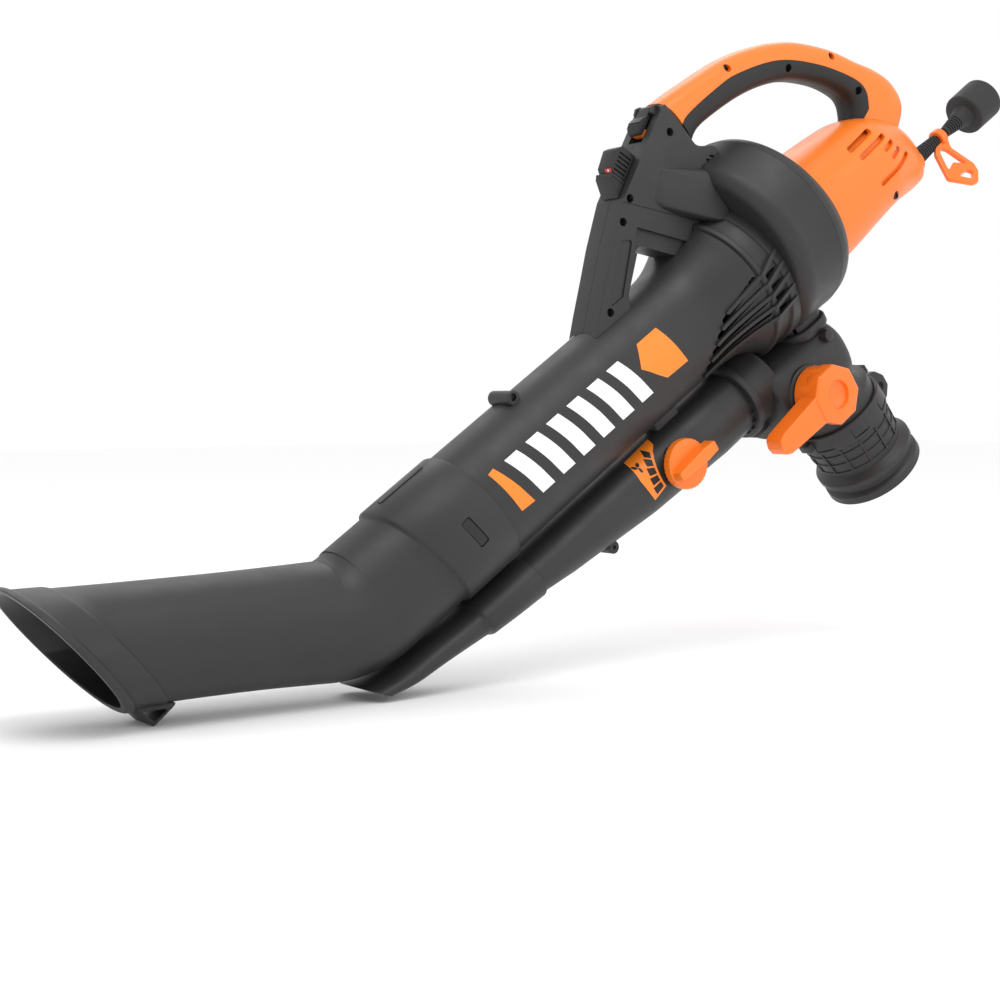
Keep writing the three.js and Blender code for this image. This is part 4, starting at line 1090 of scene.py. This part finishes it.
def flare_shape(grow, ring, ends):
    """The suction tube and its flare, solid, grown all round, with a round end of radius ring."""
    rings = [oval(-320, 0, TUBE_A + grow, TUBE_B + grow)]
    rings += [oval(x, z, a + grow, b + grow) for x, z, a, b in curve_through(FLARE, 3)]
    return skin(rings + [oval(x, 0, ring, ring, power=2) for x in ends])


def tube_solid(grow=CLEARANCE):
    return flare_shape(grow, 69 + grow, (-90, -84.8))


def drum_solid(grow=CLEARANCE):
    profile = [(-61 - grow, 0), (-61 - grow, 76 + grow), (-58.6 - grow, 81.5 + grow),
               (-51 - grow, 86.5 + grow)]
    profile += [(1, 86.5 + grow), (1, 0)]
    return turned(profile, "X", (0, 0, DRUM_Z), 96)


def intake_solid(grow=CLEARANCE):
    profile = [(-84.6 - grow, 0), (-84.6 - grow, 67 + grow), (-70 - grow, 67 + grow), (-69 - grow, 70 + grow)]
    profile += [(-50, 70 + grow), (-50, 0)]
    return turned(profile, "X", (0, 0, 0), 96)


def skim(side, face, depth):
    """The range of Y that takes depth off a face at that distance from the middle."""
    return (face - depth, face + 5) if side > 0 else (-face - 5, -face + depth)


def build_upper():
    shell = loose(*plate(rounded(HOUSING, 6), -18, 18, 5, 5))
    cheeks = [hull([(x, side * y, z) for x, y, z in CHEEK], 3, 4) for side in (-1, 1)]
    ears = []
    for low, high in ((-12, -8.8), (8.8, 12)):
        outline = on_edge([(82, -4, 0), (82, 4.6, 1.5), (88, 5.8, 2), (91.6, 3, 1), (91.6, -4, 0)])
        ears.append(plate(rounded(outline, 1), low, high, 0.5, 2))
    combine(shell, [*cheeks, *ears], "UNION")
    pocket = loose(*plate(on_edge([(56.6, 3), (56.6, -11), (81, -11), (92, -1.4), (92, 0.4), (81, 3)]),
                          -8.6, 8.6))
    cuts = [pocket, rod("Y", (LOCK_PIN[0], 0, LOCK_PIN[1]), 2.1, -20, 20)]
    cuts += [screw_pocket(x, z, -12) for x, z in HOUSING_SCREWS]
    for side in (-1, 1):
        low, high = skim(side, 18, 0.7)
        seam = [(-158, 131), (-142, 121.6), (-109, 91), (-66, 52)]
        cuts += [slot_cutter(*start, *end, 0.9, low, high) for start, end in zip(seam, seam[1:])]
        low, high = skim(side, 18, 4)
        cuts.append(plate([(-141, 97), (-88, 45.5), (-100, 30), (-156, 82)], low, high))
        low, high = skim(side, 18, 1.4)
        cuts.append(plate(rounded([(-161, 97), (-151, 91), (-186, 58), (-204, 58)], 3), low, high))
        low, high = skim(side, 18, 3)
        for x0, z0, x1, z1 in ((-39, 104.5, -31.5, 98), (-44, 103.5, -36, 96.6), (-48, 101, -42, 95.8)):
            cuts.append(slot_cutter(x0, z0, x1, z1, 2, low, high))
    combine(shell, [tube_solid(), drum_solid(), intake_solid(), handle_solid(CLEARANCE)], "DIFFERENCE")
    combine(shell, cuts, "DIFFERENCE")
    split(shell, "control_housing", CHARCOAL, ["upper_housing_left", "upper_housing_right"])
    for i, place in enumerate(HOUSING_SCREWS):
        screw_head(f"control_screw_{i + 1}", place, -12, 3.0, f"housing_screw_{i + 1}", reach=9)


def edge_plate(outline, half, rim, steps=3, corner=1.0):
    return plate(rounded(on_edge(outline), corner), -half, half, rim, steps)


def build_controls():
    base = [(1.5, 0.6, 0.6), (12.6, 14.4, 1.5), (17.2, 16.2, 0.8), (17.2, 0.6, 0.4)]
    guard = loose(*edge_plate(base, 10.6, 1))
    groove = on_edge([(14.4, 20), (14.4, 1)])
    cuts = [slot_cutter(*groove[0], *groove[1], 0.8, low, high) for low, high in ((-12, -10.1), (10.1, 12))]
    combine(guard, cuts, "DIFFERENCE")
    finished(guard, "switch_guard", BLACK, replaced=["switch_box"])

    body = [(18, 0.6, 0.5), (18, 13.6, 1.6), (21.4, 17.4, 1.5), (38, 19.4, 2.5), (42.6, 15.6, 2),
            (42, 0.6, 0.5)]
    slider = loose(*edge_plate(body, 9.6, 1.2))
    grooves = []
    for i in range(5):
        start, end = on_edge([(21.4 + 3.7 * i, 4), (21.4 + 3.7 * i, 14.6 + 0.2 * i)])
        for low, high in ((-12, -8.2), (8.2, 12)):
            grooves.append(slot_cutter(*start, *end, 1.9, low, high))
    combine(slider, grooves, "DIFFERENCE")
    finished(slider, "slider_cap", BLACK, body="power_switch", replaced=["power_slider"])

    def plaque(name, y0, y1, t0, t1, lift, material, slot):
        """A printed patch on the slider's sloping top corner."""
        (x0, z0), (x1, z1) = on_edge([(18 + t0 * 3.4, 13.6 + t0 * 3.8), (18 + t1 * 3.4, 13.6 + t1 * 3.8)])
        run = Vector((x1 - x0, 0, z1 - z0)).normalized()
        out = Vector((-run.z, 0, run.x)) * lift
        corners = [Vector((x0, y0, z0)), Vector((x0, y1, z0)), Vector((x1, y1, z1)), Vector((x1, y0, z1))]
        verts = [tuple(c + out) for c in corners] + [tuple(c - out * 2) for c in corners]
        faces = [(0, 1, 2, 3), (4, 5, 6, 7), (0, 1, 5, 4), (1, 2, 6, 5), (2, 3, 7, 6), (3, 0, 4, 7)]
        piece(name, verts, faces, material, body="power_switch", slot=slot)

    plaque("slider_patch", -7.6, 0.4, 0.2, 0.86, 0.16, INK_RED, "orange_plastic")
    plaque("slider_bar", -4.4, -2.8, 0.34, 0.72, 0.28, INK_WHITE, "charcoal_plastic")

    lever = [(62, 1.2, 1), (63, 5, 1.5), (66.6, 8.2, 2), (71, 8.8, 2), (75, 7.4, 3), (78.6, 4.6, 3),
             (88, 4.6, 1.6),
             (91, 2.6, 1), (90.6, 0.9, 0.4), (68, 0.9, 1)]
    thumb = loose(*edge_plate(lever, 7.4, 1.4, 4))
    grooves = [slot_cutter(*on_edge([(65.4 + 2.4 * i, 9.6)])[0], *on_edge([(65.2 + 2.4 * i, 8.3)])[0], 0.8,
                           -9, 9)
               for i in range(3)]
    combine(thumb, grooves, "DIFFERENCE")
    combine(thumb, [rod("Y", (LOCK_PIN[0], 0, LOCK_PIN[1]), 1.8, -11.6, 11.6)], "UNION")
    finished(thumb, "lock_thumb", BLACK, body="lock_release", replaced=["lock_lever"])
    hook = loose(*edge_plate([(63, 0.5, 0.3), (63.6, -4.6, 1), (67.5, -4.6, 1), (70, 0.5, 0.3)], 6, 0.6, 2,
                             0.5))
    finished(hook, "lock_hook", ORANGE, body="lock_release", replaced=["lock_catch"])


build_upper()
build_controls()


# ---------------------------------------------------------------- diverter
LEVER = (-76, -115)
LEAN = math.radians(8)


def outlet(verts):
    """Points about the bag outlet's own leaning axis, put in the machine frame."""
    c, s = math.cos(LEAN), math.sin(LEAN)
    return [(-16 + c * x - s * z, y, -241 + s * x + c * z) for x, y, z in verts]


def outlet_shape(shape):
    return outlet(shape[0]), shape[1]


BARREL = [  # x, share of the full section
    (-107, 0.86), (-106, 0.91), (-104, 0.95), (-100, 0.985), (-94, 1), (-60, 1), (-36, 1), (-27, 0.99),
    (-20, 0.955), (-15, 0.9), (-12, 0.83), (-10.6, 0.76), (-10, 0.66),
]


def diverter_solids(grow):
    barrel = []
    for x, k in BARREL:
        inset = grow if x < -90 else -grow if x > -20 else 0
        barrel.append(oval(x - inset, -108, 43 * k + grow, 37.6 * k + grow, power=2.5))
    lower = [flat_oval(-57, -108, 43 + grow, 41 + grow, 2.6), flat_oval(-52, -128, 44 + grow, 42 + grow, 2.5),
             flat_oval(-40, -142, 41.5 + grow, 41.6 + grow, 2.3, 0.05),
             flat_oval(-29, -149, 41.6 + grow, 41.6 + grow, 2, 0.14)]
    return [loose(*skin(barrel)), loose(*skin(curve_rings(lower)))]


def curve_rings(rings, steps=4):
    """More rings between the given ones, along smooth lines."""
    flat = [[value for point in each for value in point] for each in rings]
    made = curve_through(flat, steps)
    return [[tuple(row[i:i + 3]) for i in range(0, len(row), 3)] for row in made]


def build_diverter():
    barrel, lower = diverter_solids(0)
    neck = loose(*outlet_shape(turned([(60, 0), (60, 41), (60.8, 41.6), (93, 41.6), (93, 0)], "Z")))
    socket = [(-97, 0), (-97, 36), (-100, 34.4), (-122, 34.2), (-123.4, 34.6), (-124, 36.2), (-124.8, 37),
              (-130, 37),
              (-131, 36.2), (-131, 0)]
    socket = loose(*turned(socket, "X", (0, 0, -86), 96))
    collar = [flat_oval(-34, z, 26 - k, 38 - k, 3) for z,
              k in ((-80, 3), (-77, 0.5), (-76, 0), (-70, 0), (-69, 0.5),
                                                               (-68.4, 1.6))]
    collar = loose(*skin(collar))
    hub = loose(*turned([(-36, 0), (-36, 27), (-42.4, 27), (-43.6, 26), (-44.2, 24), (-44.2, 0)], "Y",
                        (LEVER[0], 0, LEVER[1]), 72))
    lug = loose(*plate(rounded([(-124, -128, 2), (-108, -128, 0), (-104, -116, 0), (-124, -116, 2)], 2), -8,
                       8, 1, 2))
    boss = loose(*turned([(-38, 0), (-38, 6), (-43, 5), (-43.6, 4), (-43.6, 0)], "Y", (-30, 0, -84), 40))
    combine(barrel, [lower, neck, socket, collar, hub, lug, boss], "UNION")
    hollow, hollow_low = diverter_solids(-WALL)
    cuts = [hollow, hollow_low, outlet_shape(rod("Z", (0, 0, 0), 39, 50, 94, 96))]
    cuts.append(skin([blower_ring(x, 0.3) for x in (-140, -117)]))
    cuts.append(rod("X", (0, 0, -86), 30.3, -140, -104, 96))
    cuts.append(block(-51, -17, -29, 29, -90, -55))
    cuts.append(rod("Y", (LEVER[0], 0, LEVER[1]), 4.4, -60, 60))
    cuts += [tube_solid(), drum_solid()]
    combine(barrel, cuts, "DIFFERENCE")
    finished(barrel, "diverter_case", CHARCOAL, replaced=["diverter_body"])
    ribs = []
    for degrees in (196, 214, 232, 250, 268):
        fin = block(-131, -117, -1, 1, 29, 32.6)
        fin = turned_about(fin, (0, 0, 0), degrees - 90, (1, 0, 0))
        ribs.append(([(x - 3, y, z - 86) for x, y, z in fin[0]], fin[1]))
    piece("socket_ribs", *merged(*ribs), CHARCOAL, slot="charcoal_plastic")


def build_lever():
    x, z = LEVER
    hub = [(-45, 0), (-45, 24), (-46, 25), (-60, 24.6), (-62, 24), (-62, 0)]
    hub = loose(*turned(hub, "Y", (x, 0, z), 96))
    corners = []
    for i in range(8):
        angle = math.radians((i + 0.5) * 45)
        corners.append((x + 26.4 * math.cos(angle), z + 26.4 * math.sin(angle), 3))
    face = loose(*plate(rounded(corners, 3), -73, -57, 3, 4))
    arm = [(x - 8, z - 13.5, 1), (-146, z - 10.5, 3), (-152, z - 8, 3), (-154, z - 1, 4), (-152, z + 6, 3),
           (-146, z + 8.5, 3), (x - 8, z + 13.5, 1)]
    arm = loose(*plate(rounded(arm, 2), -71.6, -54, 5, 3, round_high=False))
    combine(hub, [face, arm], "UNION")
    dish = [(-80, 0), (-80, 13.4), (-72.4, 12.4), (-69.8, 11.6), (-69.4, 10.6), (-69.4, 0)]
    cuts = [turned(dish, "Y", (x, 0, z), 72), rod("Y", (x, 0, z), 4.3, -66.4, -40)]
    combine(hub, cuts, "DIFFERENCE")
    finished(hub, "selector_lever", LEVER_ORANGE, body="mode_selector", replaced=["mode_lever"])
    vane = [(x, -30, 1), (x + 41, -30, 14), (x + 41, 30, 14), (x, 30, 1)]
    vane = turned_about(plate(rounded(vane, 1, 8), z - 1.2, z + 1.2, 0.4, 2), (0, 0, 0), 90, (1, 0, 0))
    flap = loose(*rod("Y", (x, 0, z), 7, -32, 32, 48))
    combine(flap, [vane], "UNION")
    combine(flap, [rod("Y", (x, 0, z), 4.3, -40, 40)], "DIFFERENCE")
    finished(flap, "selector_vane", CHARCOAL, body="mode_selector", replaced=["diverter_flap"])


def build_connector():
    profile = [(0.6, 36.6), (0, 37.4), (0, 45.6), (0.8, 46.6), (7.4, 46.4), (8.4, 45.6), (9.6, 42.8),
               (10.4, 42), (14.6, 42)]
    profile += [(15.6, 43), (17.2, 46.2), (18.2, 47), (22.8, 47), (24, 46), (26.4, 41.6), (28, 39.9)]
    profile += [(33, 40.2), (33.4, 41.2), (34.8, 41.3), (35.2, 40.3), (43, 40.8), (43.4, 41.9), (44.8, 42),
                (45.2, 41),
                (53, 41.6), (53.4, 42.6), (54.8, 42.7), (55.2, 41.8), (59.6, 42.4), (60.6, 43.4),
                (61.6, 45), (62.4, 45.2)]
    profile += [(79, 45.2), (80, 44.4), (80, 42.3), (58.6, 42.3), (57, 39.4), (28, 36.4)]
    body = loose(*outlet_shape(turned(profile, "Z", (0, 0, 0), 144)))
    ear = [(36, 34, 0), (47, 36, 0), (57, 40, 0), (65, 47, 3), (66, 58, 5), (60, 68, 5), (50, 72, 3),
           (38, 72, 0)]
    ear = loose(*outlet_shape(plate(rounded(ear, 2), -4, 4, 1.4, 3)))
    tab = loose(*outlet_shape(plate(rounded([(-52, 70, 1.5), (-40, 70, 0), (-40, 78, 0), (-52, 78, 1.5)],
                                            1), -6, 6, 1, 2)))
    bars = []
    for i in range(14):
        bar = plate([(38.5, 34), (41.6, 34), (43.4, 60), (40.5, 60)], -0.8, 0.8)
        bars.append(outlet_shape(turned_about(bar, (0, 0, 0), 360 * i / 14 + 6, (0, 0, 1))))
    bore = [(20, 0), (20, 36.5), (28, 36.5), (57, 39.5), (58.6, 42.4), (84, 42.4), (84, 0)]
    bore = outlet_shape(turned(bore, "Z"))
    hole = outlet_shape(rod("Y", (56, 0, 53), 4.2, -20, 20))
    combine(ear, [bore, hole], "DIFFERENCE")
    combine(tab, [bore], "DIFFERENCE")
    cuts = []
    for degrees in (150, 198, 246, 294, 342, 30):
        for outline, low, high in (([(43.9, 64.6), (47, 64.6), (47, 66), (43.9, 66)], -9, 9),
                                   ([(43.9, 66.1), (47, 66.1), (47, 74), (43.9, 74)], -9, -7.6)):
            cuts.append(outlet_shape(turned_about(plate(outline, low, high), (0, 0, 0), degrees, (0, 0, 1))))
    combine(body, cuts, "DIFFERENCE")
    joined(body, [ear, tab, loose(*merged(*bars))])
    finished(body, "bag_collar_moulding", CHARCOAL, body="bag_collar", replaced=["bag_connector"])
    low, high = [p[2] for p in latch_rows()]
    outline = [(45.8, low, 0.6), (51.4, low, 1.4), (51.4, high, 1.6), (45.8, high, 0.6)]
    latch = loose(*outlet_shape(plate(rounded(outline, 1), -7, 7, 0.9, 3)))
    finished(latch, "collar_latch_button", BLACK, body="collar_latch", replaced=["connector_latch"])


def latch_rows():
    """The latch's lowest and highest local heights, read from its CAD node."""
    c, s = math.cos(LEAN), math.sin(LEAN)
    rows = []
    for corner in frame["nodes"]["connector_latch"].data.vertices:
        x, y, z = MACHINE.inverted() @ corner.co
        x, z = x + 16, z + 241
        rows.append((c * x + s * z, y, c * z - s * x))
    return min(rows, key=lambda p: p[2]), max(rows, key=lambda p: p[2])


build_diverter()
build_lever()
build_connector()


# ---------------------------------------------------------------- intake ribs and dial scale
def build_intake_ribs():
    """Long fins that stand on the flare between its bypass slots and run on over the intake ring."""
    fins = []
    for side in (-1, 1):
        for i in range(5):
            low, high = (-76, -24) if side < 0 else (24, 76)
            fins.append(loose(*slot_cutter(-124 - 9 * i, 0.6 - 9.6 * i, -64, 22.4 - 11.6 * i, 3.2, low,
                                           high)))
    first = fins[0]
    combine(first, fins[1:], "UNION")
    for grow, ring, operation in ((2.4, 71.6, "INTERSECT"), (-0.6, 66.6, "DIFFERENCE")):
        combine(first, [flare_shape(grow, ring, (-90, -60))], operation)
    finished(first, "intake_fins", CHARCOAL, slot="charcoal_plastic")


def dial_print(polygon, lift=0.14):
    """A printed patch on the blower tube from points in the XZ plane."""
    wrapped = []
    for x, z in polygon:
        _, centre, _, b = blower_row(x)
        wrapped.append((x, angle_at(max(-0.99, min(0.99, (z - centre) / b)))))
    return print_on(wrapped, blower_point, (3, 0.08), lift)


def build_dial_scale():
    x0, z0 = DIAL

    def at(radius, degrees):
        return x0 + radius * math.cos(math.radians(degrees)), z0 + radius * math.sin(math.radians(degrees))

    back = [(-257, -57), (-224, -56.6), *[at(23, d) for d in (104, 120, 136, 152, 168, 184, 196)],
            at(39, 194), at(40, 178),
            at(42, 165)]
    piece("dial_scale", *dial_print(back), INK_ORANGE, slot="orange_plastic")
    cells = []
    for k in range(5):
        start = 124 + 14 * k
        outer = 29.5 + 1.2 * k
        ring = [at(25, start), at(25, start + 5.5), at(25, start + 11), at(outer, start + 11),
                at(outer, start + 5.5),
                at(outer, start)]
        cells.append(dial_print(ring, 0.26))
    centre = at(38, 150)
    for k in range(3):
        leaf = []
        for t in range(10):
            angle = math.tau * t / 10
            u, v = 2.3 + 2.1 * math.cos(angle), 1.15 * math.sin(angle) + 0.5
            turn = math.radians(120 * k + 20)
            c, s = math.cos(turn), math.sin(turn)
            leaf.append((centre[0] + u * c - v * s, centre[1] + u * s + v * c))
        cells.append(dial_print(leaf, 0.26))
    piece("dial_marks", *merged(*cells), BLACK, slot="black_plastic")


build_intake_ribs()
build_dial_scale()
